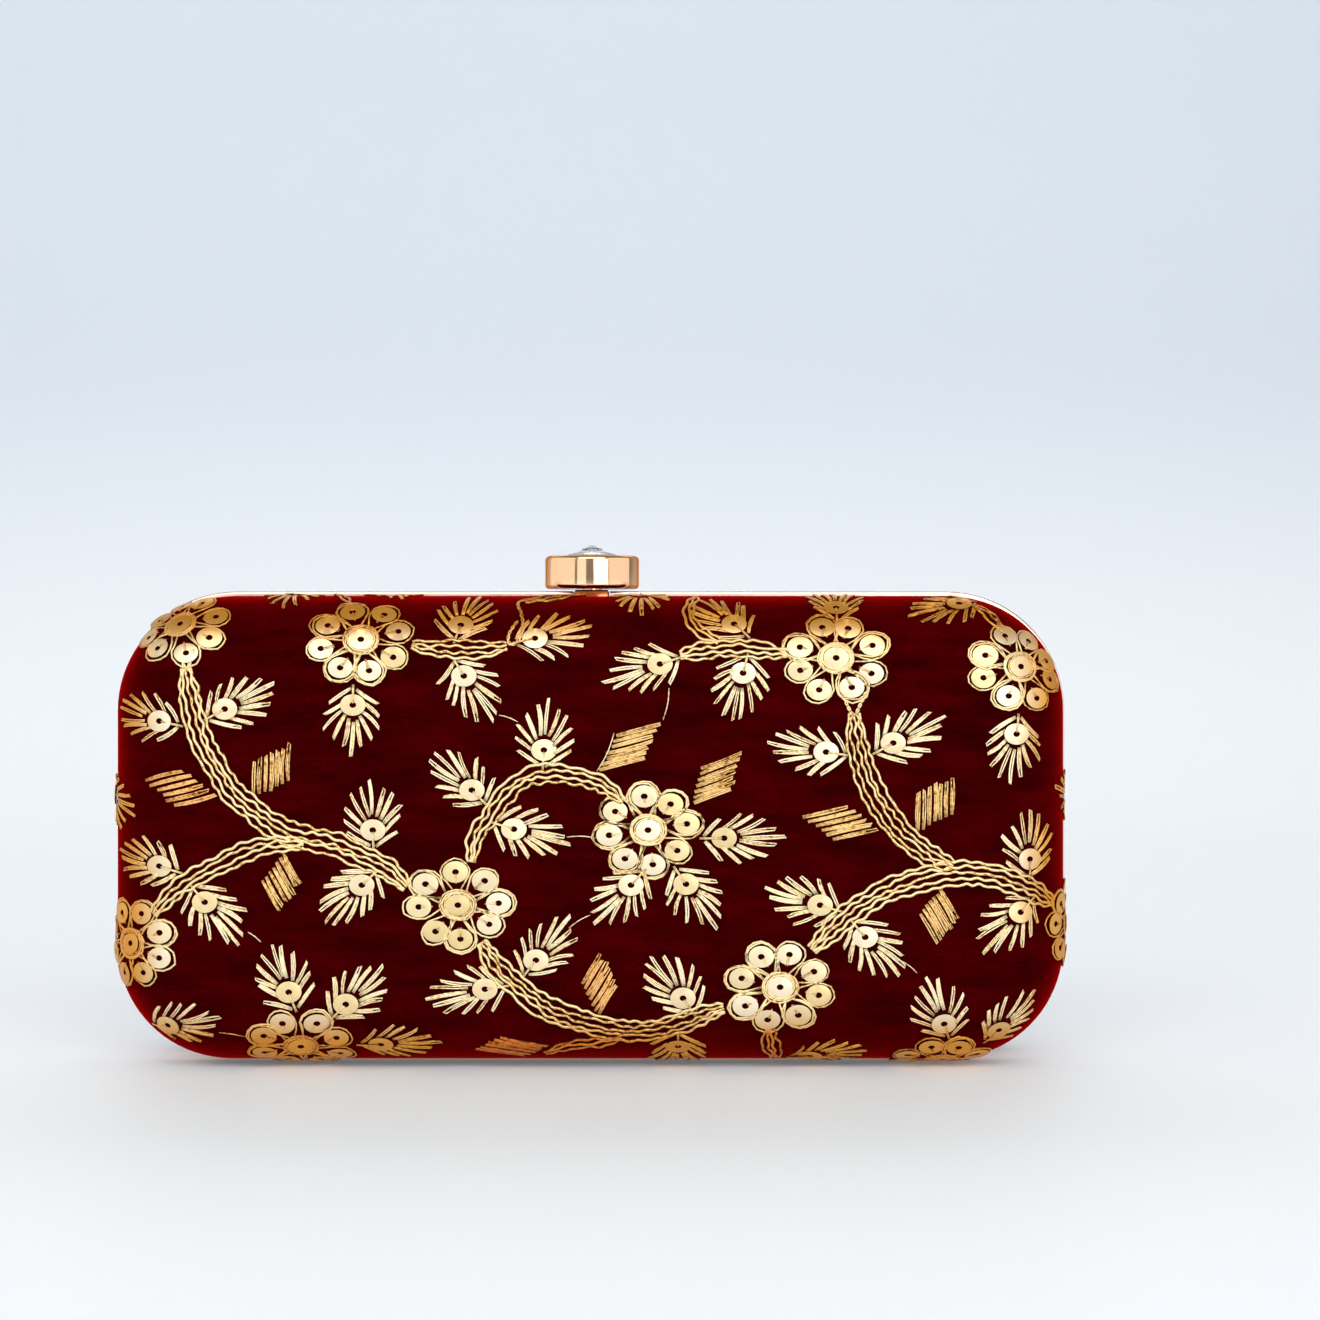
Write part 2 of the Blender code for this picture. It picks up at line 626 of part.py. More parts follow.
def pin_bores():
    half_length = HINGE_PITCH + KNUCKLE_LENGTH / 2 + HINGE_CLEARANCE
    bores = []
    for middle in (-HINGE_OFFSET, HINGE_OFFSET):
        start, end = middle - half_length, middle + half_length
        bore = hinge_cylinder(f"pin bore {len(bores)}", PIN_RADIUS + PIN_CLEARANCE, start, end, CUTTERS)
        bores.append(as_cutter(bore))
    return bores


def notch_cutter():
    """Clears the frames' outer walls and the trays' rims where the clasp's neck stands."""
    half_width = NECK_WIDTH / 2 + SEAT_GAP
    half_depth = max(FRAME_BAND, NECK_DEPTH / 2) + SEAT_GAP
    low = (-half_width, -half_depth, NOTCH_Z)
    high = (half_width, half_depth, BODY_HEIGHT + CUT_PAST)
    return as_cutter(box("clasp notch", low, high, CUTTERS))


def shank_hole():
    top = (0, 0, NECK_TOP_Z + CUT_PAST)
    return as_cutter(cylinder("shank hole", SHANK_HOLE_RADIUS, (0, 0, BACKING_Z - CUT_PAST), top, CUTTERS))


def build_neck():
    """The block under the drum that fills the notch in the frames."""
    low = (-NECK_WIDTH / 2, -NECK_DEPTH / 2, NECK_Z)
    high = (NECK_WIDTH / 2, NECK_DEPTH / 2, NECK_TOP_Z)
    neck = boolean(box("clasp_neck", low, high, CLUTCH), SHANK_HOLE, "DIFFERENCE")
    as_part(neck, ROSE_GOLD, BACK_HALF)


def build_drum():
    """The round housing with its hollow shank, turned in one piece."""
    bottom_centre = (DRUM_RADIUS - DRUM_BOTTOM_ROUND, DRUM_Z + DRUM_BOTTOM_ROUND)
    top_centre = (DRUM_RADIUS - DRUM_TOP_ROUND, DRUM_TOP_Z - DRUM_TOP_ROUND)
    profile = [(DRUM_BORE_RADIUS, DRUM_TOP_Z)]
    profile += arc(top_centre, DRUM_TOP_ROUND, 90, 0, 3)
    profile += arc(bottom_centre, DRUM_BOTTOM_ROUND, 0, -90, 4)
    profile += [
        (SHANK_RADIUS, DRUM_Z),
        (SHANK_RADIUS, SHANK_END_Z),
        (SHANK_BORE_RADIUS, SHANK_END_Z),
        (SHANK_BORE_RADIUS, DRUM_FLOOR_Z),
        (DRUM_BORE_RADIUS, DRUM_FLOOR_Z),
    ]
    drum = turned("clasp_drum", profile, TURN_STEPS, closed=True)
    as_part(drum, ROSE_GOLD, BACK_HALF, smooth=True)


def build_button():
    """The sliding button: a cup on a plunger, the crystal in the cup and the clip that keeps it in."""
    rim_z = BUTTON_Z + BUTTON_BASE + BUTTON_RIM_HEIGHT
    rim_inner = BUTTON_RADIUS - BUTTON_RIM_WALL
    cup = [
        (0, BUTTON_Z + BUTTON_BASE),
        (rim_inner, BUTTON_Z + BUTTON_BASE),
        (rim_inner, rim_z),
        (BUTTON_RADIUS, rim_z),
        (BUTTON_RADIUS, BUTTON_Z),
        (PLUNGER_RADIUS, BUTTON_Z),
        (PLUNGER_RADIUS, PLUNGER_END_Z),
        (0, PLUNGER_END_Z),
    ]
    as_part(turned("button_plunger", cup, TURN_STEPS), ROSE_GOLD, PUSH_BUTTON, smooth=True)
    crystal = [
        (0, CRYSTAL_TOP_Z),
        (CRYSTAL_TABLE_RADIUS, CRYSTAL_TOP_Z),
        (CRYSTAL_CROWN_RADIUS, CRYSTAL_TOP_Z - CRYSTAL_CROWN),
        (CRYSTAL_RADIUS, rim_z + CRYSTAL_GIRDLE),
        (CRYSTAL_RADIUS, CRYSTAL_Z),
        (0, CRYSTAL_Z),
    ]
    as_part(turned("crystal", crystal, CRYSTAL_FACETS), CRYSTAL_GLASS, PUSH_BUTTON)
    clip_hole = PLUNGER_RADIUS + CLIP_CLEARANCE
    clip = [
        (CLIP_RADIUS, CLIP_TOP_Z),
        (CLIP_RADIUS, CLIP_TOP_Z - CLIP_THICKNESS),
        (clip_hole, CLIP_TOP_Z - CLIP_THICKNESS),
        (clip_hole, CLIP_TOP_Z),
    ]
    ring = turned("plunger_clip", clip, SMALL_TURN_STEPS, closed=True)
    as_part(ring, SPRING_STEEL, PUSH_BUTTON, smooth=True)


def build_button_spring():
    """A short coil between the drum's floor and the button's base, and its least gap to itself."""
    low = DRUM_FLOOR_Z + SEAT_GAP + SPRING_WIRE / 2
    high = BUTTON_Z - SEAT_GAP - SPRING_WIRE / 2
    count = round(SPRING_TURNS * SPRING_POINTS_PER_TURN)
    curve = bpy.data.curves.new("button_spring", "CURVE")
    curve.dimensions = "3D"
    curve.bevel_depth = SPRING_WIRE / 2
    curve.bevel_resolution = 1
    curve.use_fill_caps = True
    spline = curve.splines.new("POLY")
    spline.points.add(count)
    places = []
    for number, point in enumerate(spline.points):
        share = number / count
        angle = share * SPRING_TURNS * 2 * math.pi
        across, along = SPRING_RADIUS * math.cos(angle), SPRING_RADIUS * math.sin(angle)
        place = Vector((across, along, low + share * (high - low)))
        point.co = (*place, 1)
        places.append(place)
    spring = bpy.data.objects.new("button_spring", curve)
    CLUTCH.objects.link(spring)
    as_part(spring, SPRING_STEEL, BACK_HALF)
    half_turn = SPRING_POINTS_PER_TURN // 2
    gaps = [(a - b).length for i, a in enumerate(places) for b in places[i + half_turn :]]
    print(f"button spring: least gap to itself {(min(gaps) - SPRING_WIRE) / MM:.2f} mm")


def rivet_holes(name, places, low, high):
    """Cutters for rivet shanks through a plate between two heights."""
    holes = []
    for x, y in places:
        start, end = (x, y, low - CUT_PAST), (x, y, high + CUT_PAST / 4)
        hole = cylinder(f"{name} hole {len(holes)}", RIVET_RADIUS + RIVET_CLEARANCE, start, end, CUTTERS)
        holes.append(as_cutter(hole))
    return holes


def build_rivets(names, places, head_top_z, end_z, carrier):
    """Rivets with a domed head below head_top_z and a shank up to end_z."""
    dome = [
        (0, end_z),
        (RIVET_RADIUS, end_z),
        (RIVET_RADIUS, head_top_z),
        (RIVET_HEAD_RADIUS, head_top_z),
        (RIVET_HEAD_RADIUS * 0.8, head_top_z - RIVET_HEAD_HEIGHT * 0.7),
        (0, head_top_z - RIVET_HEAD_HEIGHT),
    ]
    for name, (x, y) in zip(names, places):
        rivet = turned(name, dome, SMALL_TURN_STEPS)
        rivet.location = (x, y, 0)
        bpy.context.view_layer.update()
        as_part(rivet, SPRING_STEEL, carrier, smooth=True)


def build_latch():
    """Backing plate, ring nut, leaf latch and strike inside the top of the case, with their rivets."""
    low = (-BACKING_LENGTH / 2, BACKING_FRONT_Y, BACKING_Z)
    high = (BACKING_LENGTH / 2, BACKING_BACK_Y, BACKING_TOP_Z)
    backing = boolean(box("clasp_backing_plate", low, high, CLUTCH), SHANK_HOLE, "DIFFERENCE")
    for hole in rivet_holes("backing plate", BACKING_RIVETS + LATCH_RIVETS, BACKING_Z, BACKING_TOP_Z):
        boolean(backing, hole, "DIFFERENCE")
    as_part(backing, SPRING_STEEL, BACK_HALF)
    nut_hole = SHANK_RADIUS + PIN_CLEARANCE
    nut_top = NUT_Z + NUT_THICKNESS
    nut = [(NUT_RADIUS, nut_top), (NUT_RADIUS, NUT_Z), (nut_hole, NUT_Z), (nut_hole, nut_top)]
    as_part(turned("clasp_ring_nut", nut, TURN_STEPS, closed=True), SPRING_STEEL, BACK_HALF, smooth=True)
    build_latch_spring()
    build_strike()
    frame_end = INNER_WALL_TOP_Z - RIVET_SINK
    backing_names = ("backing_rivet_left", "backing_rivet_right")
    build_rivets(backing_names, BACKING_RIVETS, BACKING_Z - RIVET_SINK, frame_end, BACK_HALF)
    strike_names = ("strike_rivet_left", "strike_rivet_right")
    build_rivets(strike_names, STRIKE_RIVETS, STRIKE_Z - RIVET_SINK, frame_end, FRONT_HALF)
    latch_names = ("latch_rivet_inner", "latch_rivet_outer")
    leaf_head = LEAF_FOOT_TOP_Z - LEAF_THICKNESS - RIVET_SINK
    build_rivets(latch_names, LATCH_RIVETS, leaf_head, BACKING_TOP_Z - RIVET_SINK, BACK_HALF)


def build_latch_spring():
    """A joggled leaf riveted at one end, with an upturned hook where the plunger presses on it."""
    thick = Vector((0, -LEAF_THICKNESS))
    top = [
        Vector((-LEAF_TIP, LEAF_TOP_Z)),
        Vector((LEAF_BEND_START, LEAF_TOP_Z)),
        Vector((LEAF_BEND_END, LEAF_FOOT_TOP_Z)),
        Vector((LEAF_BEND_END + LEAF_FOOT_LENGTH, LEAF_FOOT_TOP_Z)),
    ]
    outline = [tuple(p) for p in top] + [tuple(p + thick) for p in reversed(top)]
    middle_y = (LEAF_FRONT_Y + LEAF_BACK_Y) / 2
    stood_up = Matrix.Translation((0, middle_y, 0)) @ Matrix.Rotation(math.radians(90), 4, "X")
    leaf = plate("latch_spring", outline, LEAF_WIDTH, stood_up, CLUTCH)
    leaf_z = LEAF_TOP_Z - LEAF_THICKNESS
    hook_outline = [
        (LEAF_FRONT_Y + LEAF_WIDTH / 2, LEAF_TOP_Z),
        (NOSE_BACK_Y, LEAF_TOP_Z),
        (NOSE_BACK_Y, LEAF_TOP_Z + HOOK_RISE),
        (NOSE_FRONT_Y, LEAF_TOP_Z),
        (NOSE_FRONT_Y, leaf_z),
        (LEAF_FRONT_Y + LEAF_WIDTH / 2, leaf_z),
    ]
    along_x = Matrix(((0, 0, 1, 0), (1, 0, 0, 0), (0, 1, 0, 0), (0, 0, 0, 1)))
    hook = as_cutter(plate("latch hook", hook_outline, HOOK_WIDTH, along_x, CUTTERS))
    boolean(leaf, hook, "UNION")
    for hole in rivet_holes("latch leaf", LATCH_RIVETS, LEAF_FOOT_TOP_Z - LEAF_THICKNESS, LEAF_FOOT_TOP_Z):
        boolean(leaf, hole, "DIFFERENCE")
    as_part(leaf, SPRING_STEEL, BACK_HALF)


def build_strike():
    """The bent plate on the front frame whose lip the latch hooks."""
    top_z = STRIKE_Z + STRIKE_THICKNESS
    low = (-STRIKE_LENGTH / 2, STRIKE_FRONT_Y, STRIKE_Z)
    strike = box("strike_plate", low, (STRIKE_LENGTH / 2, STRIKE_BACK_Y, top_z), CLUTCH)
    lip_low = (-LIP_LENGTH / 2, LIP_FRONT_Y, LIP_Z)
    lip_high = (LIP_LENGTH / 2, STRIKE_BACK_Y, STRIKE_Z + STRIKE_THICKNESS / 2)
    lip = box("strike lip", lip_low, lip_high, CUTTERS)
    boolean(strike, as_cutter(lip), "UNION")
    for hole in rivet_holes("strike", STRIKE_RIVETS, STRIKE_Z, top_z):
        boolean(strike, hole, "DIFFERENCE")
    as_part(strike, SPRING_STEEL, FRONT_HALF)


clear_scene()
CLUTCH = new_collection("box clutch")
CUTTERS = new_collection("cutters")

ROSE_GOLD = new_material("rose gold plate", (0.83, 0.55, 0.38), 0.15, metallic=1.0)
VELVET = new_material("maroon velvet", (0.085, 0.002, 0.005), 0.9, sheen=0.6)
SHELL_PLASTIC = new_material("black moulded plastic", (0.03, 0.03, 0.03), 0.5)
LINING_SATIN = new_material("gold satin lining", (0.62, 0.45, 0.22), 0.45)
SPRING_STEEL = new_material("nickelled steel", (0.62, 0.60, 0.57), 0.3, metallic=1.0)
CRYSTAL_GLASS = new_material("cut crystal", (0.95, 0.97, 1.0), 0.02, transmission=1.0)

BACK_HALF = new_empty("back half", (0, 0, 0))
FRONT_HALF = new_empty("front half on the hinge line", (0, 0, HINGE_Z))
PUSH_BUTTON = new_empty("push button on the drum axis", (0, 0, BUTTON_Z))

RIVET_EDGE = RIVET_HEAD_RADIUS + SEAT_GAP
BACKING_RIVET_X = BACKING_LENGTH / 2 - 2 * RIVET_EDGE
BACKING_RIVETS = [(-BACKING_RIVET_X, BACKING_RIVET_Y), (BACKING_RIVET_X, BACKING_RIVET_Y)]
STRIKE_RIVET_X = STRIKE_LENGTH / 2 - RIVET_EDGE
STRIKE_RIVETS = [(-STRIKE_RIVET_X, STRIKE_RIVET_Y), (STRIKE_RIVET_X, STRIKE_RIVET_Y)]
LEAF_FOOT_MIDDLE = LEAF_BEND_END + LEAF_FOOT_LENGTH / 2
LATCH_RIVET_SPREAD = LEAF_FOOT_LENGTH / 2 - RIVET_EDGE
LATCH_RIVETS = [(LEAF_FOOT_MIDDLE + side * LATCH_RIVET_SPREAD, LATCH_RIVET_Y) for side in (-1, 1)]

NOTCH_CUTTER = notch_cutter()
SHANK_HOLE = shank_hole()
PIN_BORES = pin_bores()

build_trays()
build_frames()
build_hinge_pins()
build_neck()
build_drum()
build_button()
build_button_spring()
build_latch()
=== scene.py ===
"""Dresses the box clutch: velvet, metal-thread embroidery, polished frame, crystal clasp, studio."""

import functools
import math
import random

import bmesh
import bpy
import numpy as np
from bpy.props import FloatProperty, FloatVectorProperty, IntProperty, PointerProperty
from mathutils import Matrix, Vector


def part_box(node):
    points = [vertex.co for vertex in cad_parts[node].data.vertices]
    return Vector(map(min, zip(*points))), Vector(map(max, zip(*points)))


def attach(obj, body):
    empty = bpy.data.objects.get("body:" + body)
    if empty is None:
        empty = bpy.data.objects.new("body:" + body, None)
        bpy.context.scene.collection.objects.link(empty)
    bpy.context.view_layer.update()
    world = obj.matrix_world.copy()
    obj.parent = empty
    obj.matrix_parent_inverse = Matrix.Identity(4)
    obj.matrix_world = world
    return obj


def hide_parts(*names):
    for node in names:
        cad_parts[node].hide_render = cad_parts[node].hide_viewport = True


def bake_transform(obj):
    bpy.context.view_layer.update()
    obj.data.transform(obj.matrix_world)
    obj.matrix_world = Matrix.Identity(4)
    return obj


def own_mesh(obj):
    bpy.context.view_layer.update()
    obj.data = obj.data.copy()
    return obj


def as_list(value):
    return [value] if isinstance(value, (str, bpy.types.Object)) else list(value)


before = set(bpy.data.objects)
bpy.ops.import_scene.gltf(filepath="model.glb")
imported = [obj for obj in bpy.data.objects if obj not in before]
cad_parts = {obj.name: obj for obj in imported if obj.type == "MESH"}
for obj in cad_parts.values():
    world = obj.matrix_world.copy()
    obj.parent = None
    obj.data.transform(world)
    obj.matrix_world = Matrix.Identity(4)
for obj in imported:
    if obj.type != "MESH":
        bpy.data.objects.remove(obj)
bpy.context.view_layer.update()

bl_info = {
    "name": "Embroidered Box Clutch",
    "version": (1, 0, 0),
    "blender": (4, 5, 0),
    "location": "3D View > Sidebar > Clutch",
    "description": "Builds the velvet, embroidery, metalwork and studio of a hard box clutch",
    "category": "Object",
}

MM = 0.001

# The case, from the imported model: y is 0 where the halves meet, and the front faces -y.
FRAME_LOW, FRAME_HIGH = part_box("front_frame")
SHELL_LOW, SHELL_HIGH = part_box("front_shell")
LINING_LOW, LINING_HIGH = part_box("front_lining")
DRUM_LOW, DRUM_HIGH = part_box("clasp_drum")
NECK_LOW, NECK_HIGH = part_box("clasp_neck")
PLUNGER_LOW, PLUNGER_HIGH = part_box("button_plunger")
CRYSTAL_LOW, CRYSTAL_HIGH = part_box("crystal")
COIL_LOW, COIL_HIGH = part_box("button_spring")
MIDDLE_Z = (FRAME_LOW.z + FRAME_HIGH.z) / 2
VELVET_OVER_SHELL = 0.9 * MM
FACE_DEPTH = VELVET_OVER_SHELL - SHELL_LOW.y
RIM_DEPTH = -SHELL_HIGH.y
COVER_HALF = np.array((SHELL_HIGH.x, (SHELL_HIGH.z - SHELL_LOW.z) / 2)) + VELVET_OVER_SHELL
FRAME_BAND = -FRAME_LOW.y
EDGE_ROUND_MM = 14
EDGE_ROUND = EDGE_ROUND_MM * MM
CORE_HALF = COVER_HALF - EDGE_ROUND
HALVES = (("front", -1, "front_half"), ("back", 1, "back_half"))

# The hinge, groove, notch and holes repeat the part's own sizes.
PARTING = 0.15 * MM
FRAME_INNER_WALL = 0.7 * MM
FRAME_WEB = 2.0 * MM
HINGE_Z = 2.0 * MM
HINGE_X = 58 * MM
KNUCKLE_RADIUS = 1.6 * MM
KNUCKLE_LENGTH = 6.0 * MM
KNUCKLE_PITCH = 6.3 * MM
HINGE_ROOM = 0.3 * MM
PIN_BORE = 0.9 * MM
GROOVE_HALF_ANGLE = math.radians(48)
NOTCH_HALF_WIDTH = 3.9 * MM
NOTCH_HALF_DEPTH = 6.3 * MM
NOTCH_Z = 95.3 * MM
SHANK_RADIUS = 2.0 * MM
SHANK_BORE = 1.2 * MM
SHANK_HOLE = 2.3 * MM
RIVET_HOLE = 0.8 * MM
FRAME_RIVETS = {-1: ((-6.9 * MM, -4.75 * MM), (6.9 * MM, -4.75 * MM)),
                1: ((-16.8 * MM, 3.7 * MM), (16.8 * MM, 3.7 * MM))}
FRAME_HEIGHT = 4.9 * MM
# How far a cutter runs past what it cuts.
CUT_PAST = 1 * MM

# The photograph: where the lens stood, and what one pixel covers.
PHOTO_PIXELS = 1320
LENS_X = 14.5 * MM
LENS_Z = 84.45 * MM
LENS_DISTANCE = 560 * MM
PHOTO_SPAN = 279.05 * MM
SPAN_DEPTH = FRAME_BAND
SENSOR_WIDTH = 36.0

# The photograph stretches every flower and spray sideways by this much.
MOTIF_STRETCH = np.array((1.09, 0.917))
SEED = 7


def hex_colour(code):
    """An sRGB hex value as the linear colour that shaders work in."""
    parts = [int(code[at:at + 2], 16) / 255 for at in (1, 3, 5)]
    return tuple(p / 12.92 if p <= 0.04045 else ((p + 0.055) / 1.055) ** 2.4 for p in parts)


def length_property(name, description, millimetres):
    return FloatProperty(name=name, description=description, default=millimetres * MM,
                         min=0.01 * MM, precision=5, unit="LENGTH")


def colour_property(name, description, code):
    return FloatVectorProperty(name=name, description=description, default=hex_colour(code),
                               size=3, min=0, max=1, subtype="COLOR")


class ClutchSizes(bpy.types.PropertyGroup):
    """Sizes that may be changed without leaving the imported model's outline."""

    frame_corner: length_property("Frame corner", "Outer radius of the frame's four corners", 25)
    edge_round: length_property("Edge round", "Radius that rolls the face into the sides",
                                EDGE_ROUND_MM)
    velvet_thickness: length_property("Velvet", "Thickness of the velvet with its backing", 0.7)
    lining_thickness: length_property("Lining", "Thickness of the satin lining", 0.5)
    frame_wall: length_property("Frame wall", "Thickness of the frame's outer wall", 1.0)
    frame_edge: length_property("Frame edge", "Rounding of the frame's outer edges", 0.48)
    drum_top_round: length_property("Drum top round", "Rounding of the drum's upper edge", 0.9)
    drum_bottom_round: length_property("Drum bottom round", "Rounding of the drum's lower edge", 0.8)
    sequin_width: length_property("Sequin", "Diameter of a sequin", 4.75)
    sequin_hole: length_property("Sequin hole", "Diameter of a sequin's hole", 1.28)
    stitch_thread: length_property("Stitch thread", "Diameter of the thread of sprays and leaves", 0.42)
    petal_thread: length_property("Petal thread", "Diameter of the thread round the sequins", 0.48)
    stem_thread: length_property("Stem thread", "Diameter of the couched cord of the stems", 0.68)
    stem_spacing: length_property("Stem spacing", "Distance between neighbouring cords of a stem", 1.05)
    corner_steps: IntProperty(name="Corner steps", description="Segments in each corner",
                              default=20, min=4, max=64)


class ClutchColours(bpy.types.PropertyGroup):
    """Colours of the finishes."""

    velvet: colour_property("Velvet", "Depth of the velvet's pile", "#380002")
    velvet_sheen: colour_property("Velvet sheen", "Velvet where it turns away", "#e60d08")
    rose_gold: colour_property("Rose gold", "Plated clasp", "#efc49d")
    # The neck is coloured darker and more coppery than the clasp: painted shade under the drum.
    neck_plate: colour_property("Neck plate", "Plated neck, where the gold is thin", "#d98a58")
    frame_plate: colour_property("Frame plate", "Plated frames, paler than the clasp", "#f6d3c6")
    sequin: colour_property("Sequin", "Metallised film of the sequins", "#faeed2")
    pale_zari: colour_property("Pale thread", "Metal thread of the flowers and sprays", "#fdf1c8")
    stem_zari: colour_property("Stem thread", "Metal cord of the stems", "#fbe3aa")
    gold_zari: colour_property("Gold thread", "Metal thread of the filled leaves", "#f8d08a")
    copper_zari: colour_property("Copper thread", "Warmer thread of a few leaves", "#fbc47c")
    satin: colour_property("Satin", "Lining inside the case", "#c39c62")
    shell: colour_property("Shell", "Moulded shell under the cloth", "#1b1a1a")
    steel: colour_property("Steel", "Hidden spring and latch parts", "#bdb8b0")
    floor: colour_property("Floor", "Floor", "#f0f3f6")
    wall: colour_property("Wall", "Backdrop behind the clutch", "#e1eaf4")


def sizes():
    return bpy.context.scene.clutch_sizes


def colours():
    return bpy.context.scene.clutch_colours


# Materials.


def add_node(tree, kind, sockets=None, **settings):
    """Add a node with its settings; a socket is given a value, or an output to link from."""
    node = tree.nodes.new(kind)
    for name, value in settings.items():
        setattr(node, name, value)
    for key, value in (sockets or {}).items():
        if isinstance(value, bpy.types.NodeSocket):
            tree.links.new(value, node.inputs[key])
        else:
            node.inputs[key].default_value = value
    return node


def new_finish(name, colour, sockets):
    """A material with its Principled shader's plain values set; returns it with tree and shader."""
    made = bpy.data.materials.new(name)
    made.use_nodes = True
    shader = made.node_tree.nodes["Principled BSDF"]
    shader.inputs["Base Color"].default_value = (*colour, 1)
    for key, value in sockets.items():
        shader.inputs[key].default_value = value
    made.diffuse_color = (*colour, 1)
    return made, made.node_tree, shader


def shade(colour, factor):
    return (*(min(1.0, part * factor) for part in colour), 1)


def repeats(millimetres):
    """Pattern scale, in repeats for each metre, from the real size of one repeat."""
    return 1 / (millimetres * MM)


@functools.cache
def maroon_velvet():
    """Cut-pile cotton velvet: near black seen down the pile, crimson where it turns away."""
    colour = colours().velvet
    made, tree, shader = new_finish("maroon cotton velvet", colour, {
        "Roughness": 0.9, "Sheen Weight": 0.88, "Sheen Roughness": 0.42,
        "Sheen Tint": (*colours().velvet_sheen, 1), "Specular IOR Level": 0.0})
    place = add_node(tree, "ShaderNodeTexCoord").outputs["Object"]
    # Brushing leaves streaks of pile about 14 mm long and 4 mm high that lean together.
    brushed = add_node(tree, "ShaderNodeMapping",
                       {"Vector": place, "Scale": (repeats(14), repeats(14), repeats(4))})
    nap = add_node(tree, "ShaderNodeTexNoise", {"Vector": brushed.outputs["Vector"], "Scale": 1.0,
                                                "Detail": 4.0, "Roughness": 0.65})
    lean = add_node(tree, "ShaderNodeMapRange",
                    {"Value": nap.outputs["Fac"], "From Min": 0.3, "From Max": 0.7})
    pile = add_node(tree, "ShaderNodeMix",
                    {"Factor": lean.outputs["Result"], "A": shade(colour, 0.5),
                     "B": shade(colour, 1.5)}, data_type="RGBA")
    # Tufts are 0.2 mm; they are drawn 0.5 mm so that they show.
    tuft = add_node(tree, "ShaderNodeTexNoise",
                    {"Vector": place, "Scale": repeats(0.5), "Detail": 2.0}).outputs["Fac"]
    speck = add_node(tree, "ShaderNodeMapRange", {"Value": tuft, "From Min": 0.3, "From Max": 0.7,
                                                  "To Min": 0.72, "To Max": 1.2})
    tint = add_node(tree, "ShaderNodeMix",
                    {"Factor": 1.0, "A": pile.outputs["Result"], "B": speck.outputs["Result"]},
                    data_type="RGBA", blend_type="MULTIPLY")
    tree.links.new(tint.outputs["Result"], shader.inputs["Base Color"])
    bump = add_node(tree, "ShaderNodeBump",
                    {"Height": tuft, "Strength": 0.5, "Distance": 0.25 * MM})
    tree.links.new(bump.outputs["Normal"], shader.inputs["Normal"])
    return made


# Plates: name, colour at a glance, and the roughness where the buff bore most and least.
PLATES = {
    "rose_gold": ("mirror rose gold plate", "#d68f58", 0.06, 0.16),
    # The neck's plate is darker and more coppery than the clasp: painted shade under the drum.
    "neck_plate": ("copper rose gold plate", "#c9744a", 0.1, 0.2),
    "frame_plate": ("satin rose gold plate", "#ffffff", 0.22, 0.36),
}


@functools.cache
def plate(kind):
    """Rose-gold plate on buffed brass: a warm mirror, coppery at a glance, with faint buffing lines."""
    name, glancing, smoothest, roughest = PLATES[kind]
    made, tree, shader = new_finish(name, getattr(colours(), kind), {
        "Metallic": 1.0, "Roughness": smoothest, "Specular Tint": (*hex_colour(glancing), 1)})
    place = add_node(tree, "ShaderNodeTexCoord").outputs["Object"]
    # Buffing lines are finer than 0.1 mm; they are drawn 0.4 mm apart and 12 mm long.
    drawn = add_node(tree, "ShaderNodeMapping",
                     {"Vector": place, "Scale": (repeats(12), repeats(0.4), repeats(12))})
    lines = add_node(tree, "ShaderNodeTexNoise", {"Vector": drawn.outputs["Vector"], "Scale": 1.0,
                                                  "Detail": 2.0}).outputs["Fac"]
    # Haze lies in patches of about 6 mm.
    haze = add_node(tree, "ShaderNodeTexNoise",
                    {"Vector": place, "Scale": repeats(6), "Detail": 2.0})
    worked = add_node(tree, "ShaderNodeMath", {0: lines, 1: haze.outputs["Fac"]},
                      operation="MULTIPLY")
    rough = add_node(tree, "ShaderNodeMapRange",
                     {"Value": worked.outputs[0], "From Min": 0.1, "From Max": 0.45,
                      "To Min": smoothest, "To Max": roughest})
    tree.links.new(rough.outputs["Result"], shader.inputs["Roughness"])
    bump = add_node(tree, "ShaderNodeBump",
                    {"Height": lines, "Strength": 0.05, "Distance": 0.05 * MM})
    tree.links.new(bump.outputs["Normal"], shader.inputs["Normal"])
    return made


# Gilt tone multiplied in round the rolled edge: painted shade for the darker surroundings the metal
# reflects there.
EDGE_SHADE_GILT = (*hex_colour("#e3ab4c"), 1)
# How far beyond the flat of the face the painted shade round the rolled edge begins, and where it is
# darkest.
EDGE_SHADE_STARTS = 0.5 * MM
EDGE_SHADE_ENDS = 10 * MM


def painted_edge_shade(tree):
    """How far a point lies round the rolled edge, from 0 on the face to 1, where the painted shade is
    darkest.
    """
    place = add_node(tree, "ShaderNodeTexCoord").outputs["Object"]
    parts = add_node(tree, "ShaderNodeSeparateXYZ", {"Vector": place}).outputs
    height = add_node(tree, "ShaderNodeMath", {0: parts["Z"], 1: MIDDLE_Z}, operation="SUBTRACT")
    beyond = []
    for value, half in zip((parts["X"], height.outputs[0]), CORE_HALF):
        reach = add_node(tree, "ShaderNodeMath", {0: value}, operation="ABSOLUTE")
        past = add_node(tree, "ShaderNodeMath", {0: reach.outputs[0], 1: half}, operation="SUBTRACT")
        beyond.append(past.outputs[0])
    most = add_node(tree, "ShaderNodeMath", {0: beyond[0], 1: beyond[1]}, operation="MAXIMUM")
    edge_shaded = add_node(tree, "ShaderNodeMapRange", {"Value": most.outputs[0], "From Min": EDGE_SHADE_STARTS,
                                                 "From Max": EDGE_SHADE_ENDS},
                    interpolation_type="SMOOTHSTEP")
    return edge_shaded.outputs["Result"]
